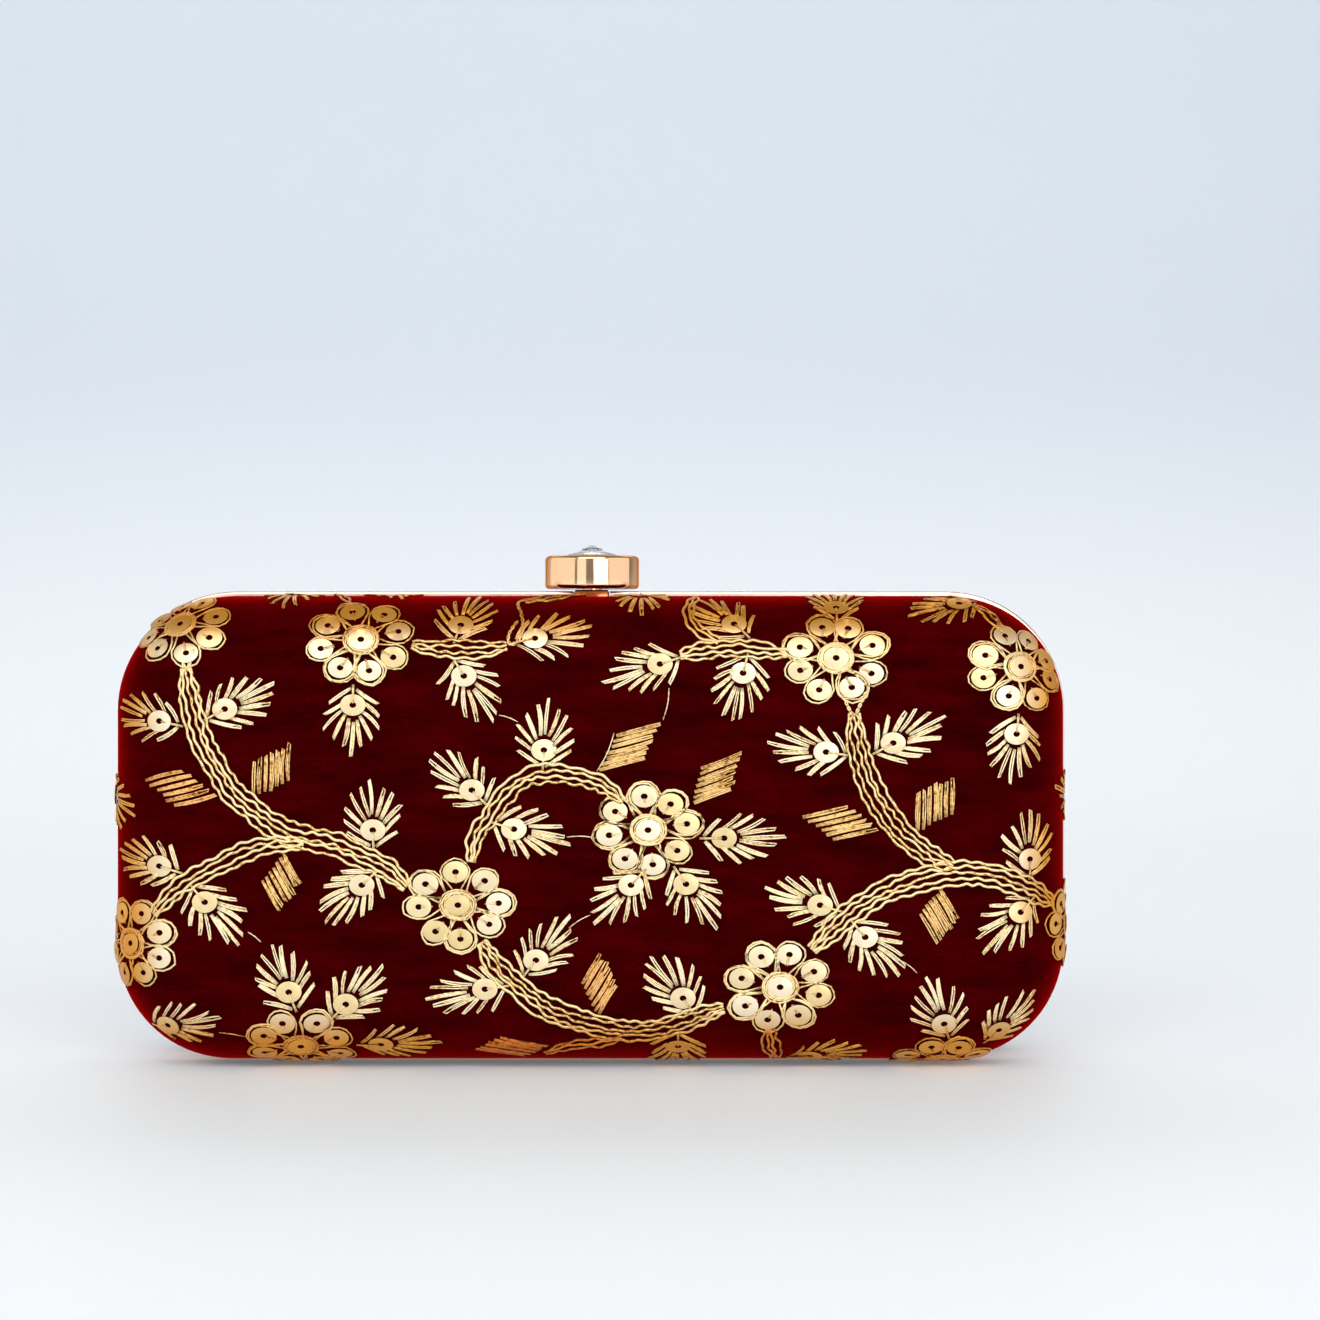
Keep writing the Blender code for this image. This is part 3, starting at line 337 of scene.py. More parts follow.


# Threads: name, tone of the side and tone of the foot, both painted shade, and where foot, side and top
# lie on the tone scale. Leaves lie close, so more of each thread is painted in its neighbour's shade.
OPEN_STOPS = (0.3, 0.58, 0.85)
LEAF_STOPS = (0.42, 0.74, 1.0)
THREADS = {
    "pale_zari": ("pale gilt zari thread", "#e0b566", "#7c4a18", OPEN_STOPS),
    "stem_zari": ("warm gilt zari cord", "#d3a04a", "#6b3a10", OPEN_STOPS),
    "gold_zari": ("gold zari thread", "#cf9a4c", "#6e3c0e", LEAF_STOPS),
    "copper_zari": ("copper zari thread", "#da9344", "#65310d", LEAF_STOPS),
}
# The strip's turns drawn round a thread, and the length of one in millimetres.
STRIP_TURNS = 7.0
STRIP_LENGTH = 0.9
# How far apart the tones of one thread's turns lie, and those of one reel and the next.
STREAK_SPAN = 2.2
REEL_SPAN = 0.5


@functools.cache
def metal_thread(kind):
    """Zari: flat gilt strip round a silk core, with painted shade: bright on top, brown down its sides.
    """
    name, side, foot, (foot_at, side_at, top_at) = THREADS[kind]
    colour = getattr(colours(), kind)
    made, tree, shader = new_finish(name, colour, {"Metallic": 0.6, "Roughness": 0.4})
    along = add_node(tree, "ShaderNodeTexCoord").outputs["UV"]
    around = add_node(tree, "ShaderNodeSeparateXYZ", {"Vector": along})
    # U goes once round the thread from its side, so its sine is 1 on top; it sets the painted shade.
    turn = add_node(tree, "ShaderNodeMath", {0: around.outputs["X"], 1: 2 * math.pi},
                    operation="MULTIPLY")
    height = add_node(tree, "ShaderNodeMath", {0: turn.outputs[0]}, operation="SINE")
    # The strip is 0.05 mm wide; only a few turns of it are drawn, so that they show.
    strand = add_node(tree, "ShaderNodeMapping",
                      {"Vector": along, "Scale": (STRIP_TURNS, 1 / STRIP_LENGTH, 1.0)})
    island = add_node(tree, "ShaderNodeNewGeometry").outputs["Random Per Island"]
    filament = add_node(tree, "ShaderNodeTexNoise",
                        {"Vector": strand.outputs["Vector"], "W": island, "Scale": 1.0, "Detail": 1.0},
                        noise_dimensions="4D").outputs["Fac"]
    streak = add_node(tree, "ShaderNodeMath", {0: filament, 1: STREAK_SPAN, 2: -STREAK_SPAN / 2},
                      operation="MULTIPLY_ADD")
    painted_shade_and_streak = add_node(tree, "ShaderNodeMath", {0: height.outputs[0], 1: streak.outputs[0]},
                   operation="ADD")
    # Each thread was drawn from its own reel, a little brighter or browner than the next.
    reel = add_node(tree, "ShaderNodeMath", {0: island, 1: REEL_SPAN, 2: -REEL_SPAN / 2},
                    operation="MULTIPLY_ADD")
    gilt = add_node(tree, "ShaderNodeMath", {0: painted_shade_and_streak.outputs[0], 1: reel.outputs[0]}, operation="ADD")
    # The ramp paints shade from that height: top tone on top, side and foot tones lower down.
    ramp = add_node(tree, "ShaderNodeValToRGB", {"Fac": gilt.outputs[0]})
    stops = ramp.color_ramp.elements
    stops[0].position, stops[0].color = foot_at, (*hex_colour(foot), 1)
    stops[1].position, stops[1].color = top_at, (*colour, 1)
    stops.new(side_at).color = (*hex_colour(side), 1)
    # Round the rolled edge the thread is darkened towards gold: painted shade.
    tint = add_node(tree, "ShaderNodeMix",
                    {"Factor": painted_edge_shade(tree), "A": ramp.outputs["Color"], "B": EDGE_SHADE_GILT},
                    data_type="RGBA", blend_type="MULTIPLY")
    tree.links.new(tint.outputs["Result"], shader.inputs["Base Color"])
    bump = add_node(tree, "ShaderNodeBump",
                    {"Height": filament, "Strength": 0.35, "Distance": 0.08 * MM})
    tree.links.new(bump.outputs["Normal"], shader.inputs["Normal"])
    return made


FILM_LACQUER = (*hex_colour("#ecd195"), 1)
# How far apart the tones of a sequin's clouded and clear spots lie.
CLOUD_SPAN = 0.5


@functools.cache
def gilt_sequin():
    """Metallised polyester film, punched flat: some discs flash white, others show gold lacquer."""
    colour = colours().sequin
    made, tree, shader = new_finish("metallised film sequin", colour,
                                    {"Metallic": 0.6, "Roughness": 0.36})
    place = add_node(tree, "ShaderNodeTexCoord").outputs["Object"]
    island = add_node(tree, "ShaderNodeNewGeometry").outputs["Random Per Island"]
    # Handling clouds the film in spots of about 1.5 mm.
    cloud = add_node(tree, "ShaderNodeTexNoise",
                     {"Vector": place, "Scale": repeats(1.5), "Detail": 3.0}).outputs["Fac"]
    handled = add_node(tree, "ShaderNodeMath", {0: cloud, 1: CLOUD_SPAN, 2: -CLOUD_SPAN / 2},
                       operation="MULTIPLY_ADD")
    lacquer = add_node(tree, "ShaderNodeMath", {0: island, 1: handled.outputs[0]}, operation="ADD",
                       use_clamp=True)
    film = add_node(tree, "ShaderNodeMix",
                    {"Factor": lacquer.outputs[0], "A": (*colour, 1), "B": FILM_LACQUER},
                    data_type="RGBA")
    # Round the rolled edge the sequins are darkened towards gold: painted shade.
    tint = add_node(tree, "ShaderNodeMix",
                    {"Factor": painted_edge_shade(tree), "A": film.outputs["Result"], "B": EDGE_SHADE_GILT},
                    data_type="RGBA", blend_type="MULTIPLY")
    tree.links.new(tint.outputs["Result"], shader.inputs["Base Color"])
    rough = add_node(tree, "ShaderNodeMapRange", {"Value": cloud, "To Min": 0.26, "To Max": 0.46})
    tree.links.new(rough.outputs["Result"], shader.inputs["Roughness"])
    return made


@functools.cache
def satin_lining():
    """Woven satin: long floats over a plain back, with painted sheen: lighter in soft bands along the
    warp.
    """
    colour = colours().satin
    made, tree, shader = new_finish("gold satin lining", colour, {
        "Roughness": 0.36, "Sheen Weight": 0.35, "Sheen Roughness": 0.3, "Anisotropic": 0.5})
    place = add_node(tree, "ShaderNodeTexCoord").outputs["Object"]
    # Warp floats are 0.15 mm wide and 2 mm long; they are drawn 0.5 mm by 8 mm so that they show.
    floats = add_node(tree, "ShaderNodeMapping",
                      {"Vector": place, "Scale": (repeats(0.5), repeats(0.5), repeats(8))})
    warp = add_node(tree, "ShaderNodeTexNoise", {"Vector": floats.outputs["Vector"], "Scale": 1.0,
                                                 "Detail": 2.0}).outputs["Fac"]
    # Painted sheen and shade: the cloth goes lighter and darker in soft patches of about 25 mm.
    painted_sheen_patch = add_node(tree, "ShaderNodeTexNoise",
                     {"Vector": place, "Scale": repeats(25), "Detail": 1.0})
    glow = add_node(tree, "ShaderNodeMath", {0: warp, 1: painted_sheen_patch.outputs["Fac"]},
                    operation="MULTIPLY")
    # The colour runs from 0.82 to 1.45 of the satin's own: painted sheen over the weave.
    tint = add_node(tree, "ShaderNodeMix",
                    {"Factor": glow.outputs[0], "A": shade(colour, 0.82), "B": shade(colour, 1.45)},
                    data_type="RGBA")
    tree.links.new(tint.outputs["Result"], shader.inputs["Base Color"])
    bump = add_node(tree, "ShaderNodeBump",
                    {"Height": warp, "Strength": 0.2, "Distance": 0.05 * MM})
    tree.links.new(bump.outputs["Normal"], shader.inputs["Normal"])
    return made


@functools.cache
def moulded_shell():
    """Injection-moulded ABS with a fine spark-eroded grain: black, half matt."""
    made, tree, shader = new_finish("black moulded ABS", colours().shell, {"Roughness": 0.5})
    place = add_node(tree, "ShaderNodeTexCoord").outputs["Object"]
    # Spark grain is about 0.05 mm; it is drawn 0.6 mm so that it shows.
    grain = add_node(tree, "ShaderNodeTexNoise",
                     {"Vector": place, "Scale": repeats(0.6), "Detail": 2.0}).outputs["Fac"]
    rough = add_node(tree, "ShaderNodeMapRange", {"Value": grain, "To Min": 0.4, "To Max": 0.6})
    tree.links.new(rough.outputs["Result"], shader.inputs["Roughness"])
    bump = add_node(tree, "ShaderNodeBump",
                    {"Height": grain, "Strength": 0.3, "Distance": 0.05 * MM})
    tree.links.new(bump.outputs["Normal"], shader.inputs["Normal"])
    return made


@functools.cache
def nickelled_steel():
    """Nickel-plated spring steel: grey, half bright, with a rolled grain 0.3 mm apart."""
    made, tree, shader = new_finish("nickelled spring steel", colours().steel,
                                    {"Metallic": 1.0, "Roughness": 0.3})
    place = add_node(tree, "ShaderNodeTexCoord").outputs["Object"]
    drawn = add_node(tree, "ShaderNodeMapping",
                     {"Vector": place, "Scale": (repeats(5), repeats(0.3), repeats(0.3))})
    rolled = add_node(tree, "ShaderNodeTexNoise",
                      {"Vector": drawn.outputs["Vector"], "Scale": 1.0, "Detail": 2.0})
    rough = add_node(tree, "ShaderNodeMapRange",
                     {"Value": rolled.outputs["Fac"], "To Min": 0.2, "To Max": 0.42})
    tree.links.new(rough.outputs["Result"], shader.inputs["Roughness"])
    return made


@functools.cache
def cut_crystal():
    """Lead crystal, cut and polished: clear, bright edges, light thrown about inside."""
    made, tree, shader = new_finish("cut lead crystal", hex_colour("#f7fafc"), {
        "Roughness": 0.02, "Transmission Weight": 1.0, "IOR": 1.56})
    place = add_node(tree, "ShaderNodeTexCoord").outputs["Object"]
    # The last polish leaves a bloom in patches of about 2 mm.
    bloom = add_node(tree, "ShaderNodeTexNoise", {"Vector": place, "Scale": repeats(2)})
    rough = add_node(tree, "ShaderNodeMapRange",
                     {"Value": bloom.outputs["Fac"], "To Min": 0.0, "To Max": 0.05})
    tree.links.new(rough.outputs["Result"], shader.inputs["Roughness"])
    return made


@functools.cache
def silver_foil():
    """The silvered backing that makes a flat-backed crystal flash, creased about every 1.4 mm."""
    made, tree, shader = new_finish("silver foil backing", hex_colour("#fafbfc"),
                                    {"Metallic": 0.75, "Roughness": 0.25})
    place = add_node(tree, "ShaderNodeTexCoord").outputs["Object"]
    crease = add_node(tree, "ShaderNodeTexVoronoi", {"Vector": place, "Scale": repeats(1.4)})
    bump = add_node(tree, "ShaderNodeBump",
                    {"Height": crease.outputs["Distance"], "Strength": 0.6, "Distance": 0.2 * MM})
    tree.links.new(bump.outputs["Normal"], shader.inputs["Normal"])
    return made


# The paper turns from floor to wall colour up to PAPER_RISE. The lens, metal and glass see its floor
# lighter by FLOOR_GLOW than it lights the case. It gives way where a solid lies within BELOW_REACH
# under it and leaves less than BELOW_LIMIT open.
PAPER_RISE = 0.3
FLOOR_GLOW = 0.12
BELOW_REACH = 0.12
BELOW_LIMIT = 0.2


@functools.cache
def studio_paper():
    """Seamless paper: matt, white underfoot, cooler where it rises behind the case."""
    floor = colours().floor
    made, tree, shader = new_finish("matt studio paper", floor,
                                    {"Roughness": 0.55, "Specular IOR Level": 0.3})
    place = add_node(tree, "ShaderNodeTexCoord").outputs["Object"]
    height = add_node(tree, "ShaderNodeSeparateXYZ", {"Vector": place}).outputs["Z"]
    rise = add_node(tree, "ShaderNodeMapRange",
                    {"Value": height, "From Min": 0.0, "From Max": PAPER_RISE},
                    interpolation_type="SMOOTHSTEP").outputs["Result"]
    tint = add_node(tree, "ShaderNodeMix",
                    {"Factor": rise, "A": (*floor, 1), "B": (*colours().wall, 1)}, data_type="RGBA")
    tree.links.new(tint.outputs["Result"], shader.inputs["Base Color"])
    ray = add_node(tree, "ShaderNodeLightPath").outputs
    mirrored = add_node(tree, "ShaderNodeMath",
                        {0: ray["Is Glossy Ray"], 1: ray["Is Transmission Ray"]}, operation="MAXIMUM")
    seen = add_node(tree, "ShaderNodeMath",
                    {0: ray["Is Camera Ray"], 1: mirrored.outputs[0]}, operation="MAXIMUM")
    low = add_node(tree, "ShaderNodeMapRange", {"Value": rise, "To Min": FLOOR_GLOW, "To Max": 0.0})
    glow = add_node(tree, "ShaderNodeMath", {0: seen.outputs[0], 1: low.outputs["Result"]},
                    operation="MULTIPLY")
    tree.links.new(glow.outputs[0], shader.inputs["Emission Strength"])
    # The open half hangs below the floor, so the floor opens there for its lining to show and be lit.
    below = add_node(tree, "ShaderNodeAmbientOcclusion", {"Distance": BELOW_REACH},
                     inside=True, samples=8)
    whole = add_node(tree, "ShaderNodeMath", {0: below.outputs["AO"], 1: BELOW_LIMIT},
                     operation="GREATER_THAN")
    under = add_node(tree, "ShaderNodeNewGeometry").outputs["Backfacing"]
    passed = add_node(tree, "ShaderNodeMath", {0: under, 1: ray["Is Shadow Ray"]},
                      operation="MAXIMUM")
    solid = add_node(tree, "ShaderNodeMath", {0: whole.outputs[0], 1: passed.outputs[0]},
                     operation="SUBTRACT", use_clamp=True)
    tree.links.new(solid.outputs[0], shader.inputs["Alpha"])
    # Paper fibre is finer than 0.1 mm; it is drawn 1.2 mm so that it shows.
    fibre = add_node(tree, "ShaderNodeTexNoise", {"Vector": place, "Scale": repeats(1.2)})
    bump = add_node(tree, "ShaderNodeBump",
                    {"Height": fibre.outputs["Fac"], "Strength": 0.05, "Distance": 0.1 * MM})
    tree.links.new(bump.outputs["Normal"], shader.inputs["Normal"])
    return made


# Mesh making.


def new_piece(name, points, faces, material, sharp=35, outward=True):
    """A mesh object with its normals outward, smooth but for edges sharper than sharp degrees."""
    shape = bpy.data.meshes.new(name)
    shape.from_pydata([tuple(p) for p in points], [], [tuple(f) for f in faces])
    if outward:
        work = bmesh.new()
        work.from_mesh(shape)
        bmesh.ops.recalc_face_normals(work, faces=work.faces)
        work.to_mesh(shape)
        work.free()
    shape.shade_smooth()
    if sharp:
        shape.set_sharp_from_angle(angle=math.radians(sharp))
    shape.materials.append(material)
    piece = bpy.data.objects.new(name, shape)
    bpy.context.scene.collection.objects.link(piece)
    return piece


def ring_faces(near, far, count):
    """Quads between two rings of points, given the first point of each."""
    pairs = [(at, (at + 1) % count) for at in range(count)]
    return [(near + at, near + past, far + past, far + at) for at, past in pairs]


def skin(name, loops, material, closed=False, sharp=35):
    """Skin a run of equal loops; the ends are filled unless the run closes on itself."""
    count, rows = len(loops[0]), len(loops)
    faces = []
    for row in range(rows if closed else rows - 1):
        faces += ring_faces(row * count, (row + 1) % rows * count, count)
    if not closed:
        faces += [range(count), range((rows - 1) * count, rows * count)]
    return new_piece(name, np.concatenate(loops), faces, material, sharp)


def rounded_loop(half_width, half_height, radius, depth):
    """A rounded rectangle about the case's middle, upright at y = depth."""
    steps = sizes().corner_steps
    points = []
    for quarter, (side, up) in enumerate(((1, 1), (-1, 1), (-1, -1), (1, -1))):
        for step in range(steps + 1):
            angle = math.radians(90) * (quarter + step / steps)
            points.append((side * (half_width - radius) + radius * math.cos(angle), depth,
                           MIDDLE_Z + up * (half_height - radius) + radius * math.sin(angle)))
    return np.array(points)


def case_loops(profile, side, half_width, half_height, corner):
    """Loops round the case for a profile of (inset, depth) points; side is -1 for the front."""
    return [rounded_loop(half_width - inset, half_height - inset, corner - inset, side * depth)
            for inset, depth in profile]


def bend(centre, radius, start, end, steps):
    """Points of an arc in a profile, between two angles in degrees."""
    angles = np.radians(np.linspace(start, end, steps + 1))
    return [(centre[0] + radius * math.cos(a), centre[1] + radius * math.sin(a)) for a in angles]


def turned(name, profile, material, steps=96, closed=False, sharp=35):
    """Turn a profile of (radius, z) points about the drum's axis."""
    ring = np.linspace(0, 2 * math.pi, steps, endpoint=False)
    loops = [np.column_stack((r * np.cos(ring), r * np.sin(ring), np.full(steps, z)))
             for r, z in profile]
    return skin(name, loops, material, closed, sharp)


def cut(piece, points, faces, operation="DIFFERENCE"):
    """Cut a solid out of a piece, or join it on, and leave the result as its mesh."""
    tool = new_piece("cutter", points, faces, piece.data.materials[0])
    change = piece.modifiers.new("cut", "BOOLEAN")
    change.object = tool
    change.operation = operation
    change.solver = "EXACT"
    graph = bpy.context.evaluated_depsgraph_get()
    result = bpy.data.meshes.new_from_object(piece.evaluated_get(graph))
    piece.modifiers.clear()
    piece.data = result
    bpy.data.objects.remove(tool, do_unlink=True)
    return piece


def block(low, high):
    """The corners and faces of a plain block, for a cutter."""
    points = [(x, y, z) for x in (low[0], high[0]) for y in (low[1], high[1])
              for z in (low[2], high[2])]
    return points, [(0, 1, 3, 2), (4, 6, 7, 5), (0, 4, 5, 1), (2, 3, 7, 6), (0, 2, 6, 4),
                    (1, 5, 7, 3)]


def rod(radius, start, end, steps=32):
    """The points and faces of a plain rod between two points, for a cutter or knuckle."""
    start, end = Vector(start), Vector(end)
    turn = Vector((0, 0, 1)).rotation_difference(end - start)
    points = []
    for centre in (start, end):
        for step in range(steps):
            angle = 2 * math.pi * step / steps
            spoke = Vector((radius * math.cos(angle), radius * math.sin(angle), 0))
            points.append(centre + turn @ spoke)
    return points, [*ring_faces(0, steps, steps), range(steps), range(steps, 2 * steps)]


def cut_notch(piece):
    """Clear the place at the top where the clasp's neck stands."""
    low = (-NOTCH_HALF_WIDTH, -NOTCH_HALF_DEPTH, NOTCH_Z)
    return cut(piece, *block(low, (NOTCH_HALF_WIDTH, NOTCH_HALF_DEPTH, FRAME_HIGH.z + 2 * CUT_PAST)))


def smooth_again(piece, sharp=30):
    """Shade a cut piece smooth between its sharp edges."""
    piece.data.shade_smooth()
    piece.data.set_sharp_from_angle(angle=math.radians(sharp))
    return piece


# Velvet, lining and frame.


# Edges of cloth sharper than this many degrees are shaded sharp.
CLOTH_SHARP = 50
# The flat of a tray's face is pinned this far in from its rolled edge.
SETTLE = 1.5 * MM


def tray_profile(depth, rim, edge, thickness, steps):
    """A cloth tray's section as (inset, depth): up the outside, over the edge, and back inside."""
    inner = edge - thickness
    outside = bend((edge, depth - edge), edge, 180, 90, steps)
    inside = bend((edge, depth - edge), inner, 90, 180, steps)
    settle = edge + SETTLE
    return ([(0, rim), *outside, (settle, depth)],
            [(settle, depth - thickness), *inside, (thickness, rim)])


def closed_tray(name, outer_loops, inner_loops, material):
    """Skin the outside and the inside of a tray, fill both floors and join them at the rim."""
    count, floor = len(outer_loops[0]), len(outer_loops) - 1
    run = outer_loops + inner_loops
    faces = []
    for row in range(len(run)):
        if row != floor:
            faces += ring_faces(row * count, (row + 1) % len(run) * count, count)
    for row in (floor, floor + 1):
        faces.append(range(row * count, (row + 1) * count))
    return new_piece(name, np.concatenate(run), faces, material, CLOTH_SHARP)


def cloth_trays(cloth, sections, half_width, half_height, corner, finish):
    """A tray of cloth for each half, clear of the clasp; gives the half's name, body and tray."""
    for name, side, body in HALVES:
        outer, inner = (case_loops(section, side, half_width, half_height, corner)
                        for section in sections)
        tray = closed_tray(f"{name}_{cloth}", outer, inner, finish)
        yield name, body, smooth_again(cut_notch(tray), CLOTH_SHARP)


class CLUTCH_OT_velvet(bpy.types.Operator):
    """Stretch the velvet covers over both shells"""

    bl_idname = "clutch.velvet"
    bl_label = "Velvet Covers"

    def execute(self, context):
        corner = sizes().frame_corner - (FRAME_HIGH.x - COVER_HALF[0])
        sections = tray_profile(FACE_DEPTH, RIM_DEPTH, sizes().edge_round, sizes().velvet_thickness, 14)
        for name, body, cover in cloth_trays("velvet", sections, *COVER_HALF, corner, maroon_velvet()):
            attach(cover, body)
            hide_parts(f"{name}_velvet_cover")
        return {"FINISHED"}


class CLUTCH_OT_lining(bpy.types.Operator):
    """Line both halves with satin, glued smooth to the shells"""

    bl_idname = "clutch.lining"
    bl_label = "Satin Linings"

    def execute(self, context):
        half_width = LINING_HIGH.x
        half_height = (LINING_HIGH.z - LINING_LOW.z) / 2
        corner = sizes().frame_corner - (FRAME_HIGH.x - half_width)
        depth, rim = -LINING_LOW.y, -LINING_HIGH.y
        edge = sizes().edge_round - (FACE_DEPTH - depth)
        sections = tray_profile(depth, rim, edge, sizes().lining_thickness, 10)
        for name, body, lining in cloth_trays("satin", sections, half_width, half_height, corner,
                                              satin_lining()):
            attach(lining, body)
            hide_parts(f"{name}_lining")
        return {"FINISHED"}


def frame_section():
    """The U-shaped channel as (inset, depth), its outer edges rounded by polishing."""
    edge, wall = sizes().frame_edge, sizes().frame_wall
    web = PARTING + FRAME_WEB
    inner = FRAME_HEIGHT - FRAME_INNER_WALL
    return [
        *bend((edge, PARTING + edge), edge, 270, 180, 4),
        *bend((edge, FRAME_BAND - edge), edge, 180, 90, 4),
        (wall, FRAME_BAND), (wall, web), (inner, web), (inner, FRAME_BAND),
        (FRAME_HEIGHT, FRAME_BAND), (FRAME_HEIGHT, PARTING),
    ]


def knuckle_spans(side):
    """Where this half's knuckles lie: the outer ones on the back, the middle ones on the front."""
    places = (0,) if side < 0 else (-1, 1)
    for hinge in (-HINGE_X, HINGE_X):
        for place in places:
            middle = hinge + place * KNUCKLE_PITCH
            yield middle - KNUCKLE_LENGTH / 2, middle + KNUCKLE_LENGTH / 2


class CLUTCH_OT_frames(bpy.types.Operator):
    """Roll the two polished frames, with hinge knuckles, fold groove and clasp notch"""

    bl_idname = "clutch.frames"
    bl_label = "Rose Gold Frames"

    def execute(self, context):
        half_width = FRAME_HIGH.x
        half_height = (FRAME_HIGH.z - FRAME_LOW.z) / 2
        drop = HINGE_Z + CUT_PAST
        spread = drop * math.tan(GROOVE_HALF_ANGLE)
        groove = [(x, y, z) for x in (-half_width, half_width)
                  for y, z in ((0, HINGE_Z), (-spread, HINGE_Z - drop), (spread, HINGE_Z - drop))]
        groove_faces = [(0, 1, 2), (3, 5, 4), (0, 3, 4, 1), (1, 4, 5, 2), (2, 5, 3, 0)]
        for name, side, body in HALVES:
            loops = case_loops(frame_section(), side, half_width, half_height, sizes().frame_corner)
            rail = skin(f"{name}_rail", loops, plate("frame_plate"), closed=True)
            cut(rail, groove, groove_faces)
            for start, end in knuckle_spans(-side):
                cut(rail, *rod(KNUCKLE_RADIUS + HINGE_ROOM, (start - HINGE_ROOM, 0, HINGE_Z),
                               (end + HINGE_ROOM, 0, HINGE_Z)))
            for start, end in knuckle_spans(side):
                cut(rail, *rod(KNUCKLE_RADIUS, (start, 0, HINGE_Z), (end, 0, HINGE_Z)), "UNION")
            reach = 1.6 * KNUCKLE_PITCH
            for hinge in (-HINGE_X, HINGE_X):
                cut(rail, *rod(PIN_BORE, (hinge - reach, 0, HINGE_Z), (hinge + reach, 0, HINGE_Z)))
            cut_notch(rail)
            cut(rail, *rod(SHANK_HOLE, (0, 0, NOTCH_Z - 4 * CUT_PAST), (0, 0, FRAME_HIGH.z + CUT_PAST)))
            low, high = (FRAME_HIGH.z - FRAME_HEIGHT + part * CUT_PAST for part in (-0.5, 0.5))
            for x, y in FRAME_RIVETS[side]:
                cut(rail, *rod(RIVET_HOLE, (x, y, low), (x, y, high)))
            smooth_again(rail)
            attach(rail, body)
            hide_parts(f"{name}_frame")
        return {"FINISHED"}


# Clasp.

NECK_BEVEL = 0.35 * MM
DRUM_BORE = 6.4 * MM
DRUM_GAP = 0.3 * MM
DRUM_FLOOR = 0.9 * MM
DRUM_LIP = 0.25 * MM
PLUNGER_STEM = 0.9 * MM
PLUNGER_TIP = 0.6 * MM
PLUNGER_CHAMFER = 0.3 * MM
CUP_DEPTH = 1.8 * MM
CUP_FLOOR = 0.8 * MM
CUP_WALL = 0.35 * MM
CUP_ROUND = 0.12 * MM
CUP_CHAMFER = 0.2 * MM
STONE_FACETS = 16
STONE_GIRDLE = 0.4 * MM
STONE_GIRDLE_RISE = 1.1 * MM
STONE_CROWN = 1.1 * MM
STONE_FOOT = 0.86
FOIL_GAP = 0.06 * MM
FOIL_DROP = 0.45 * MM


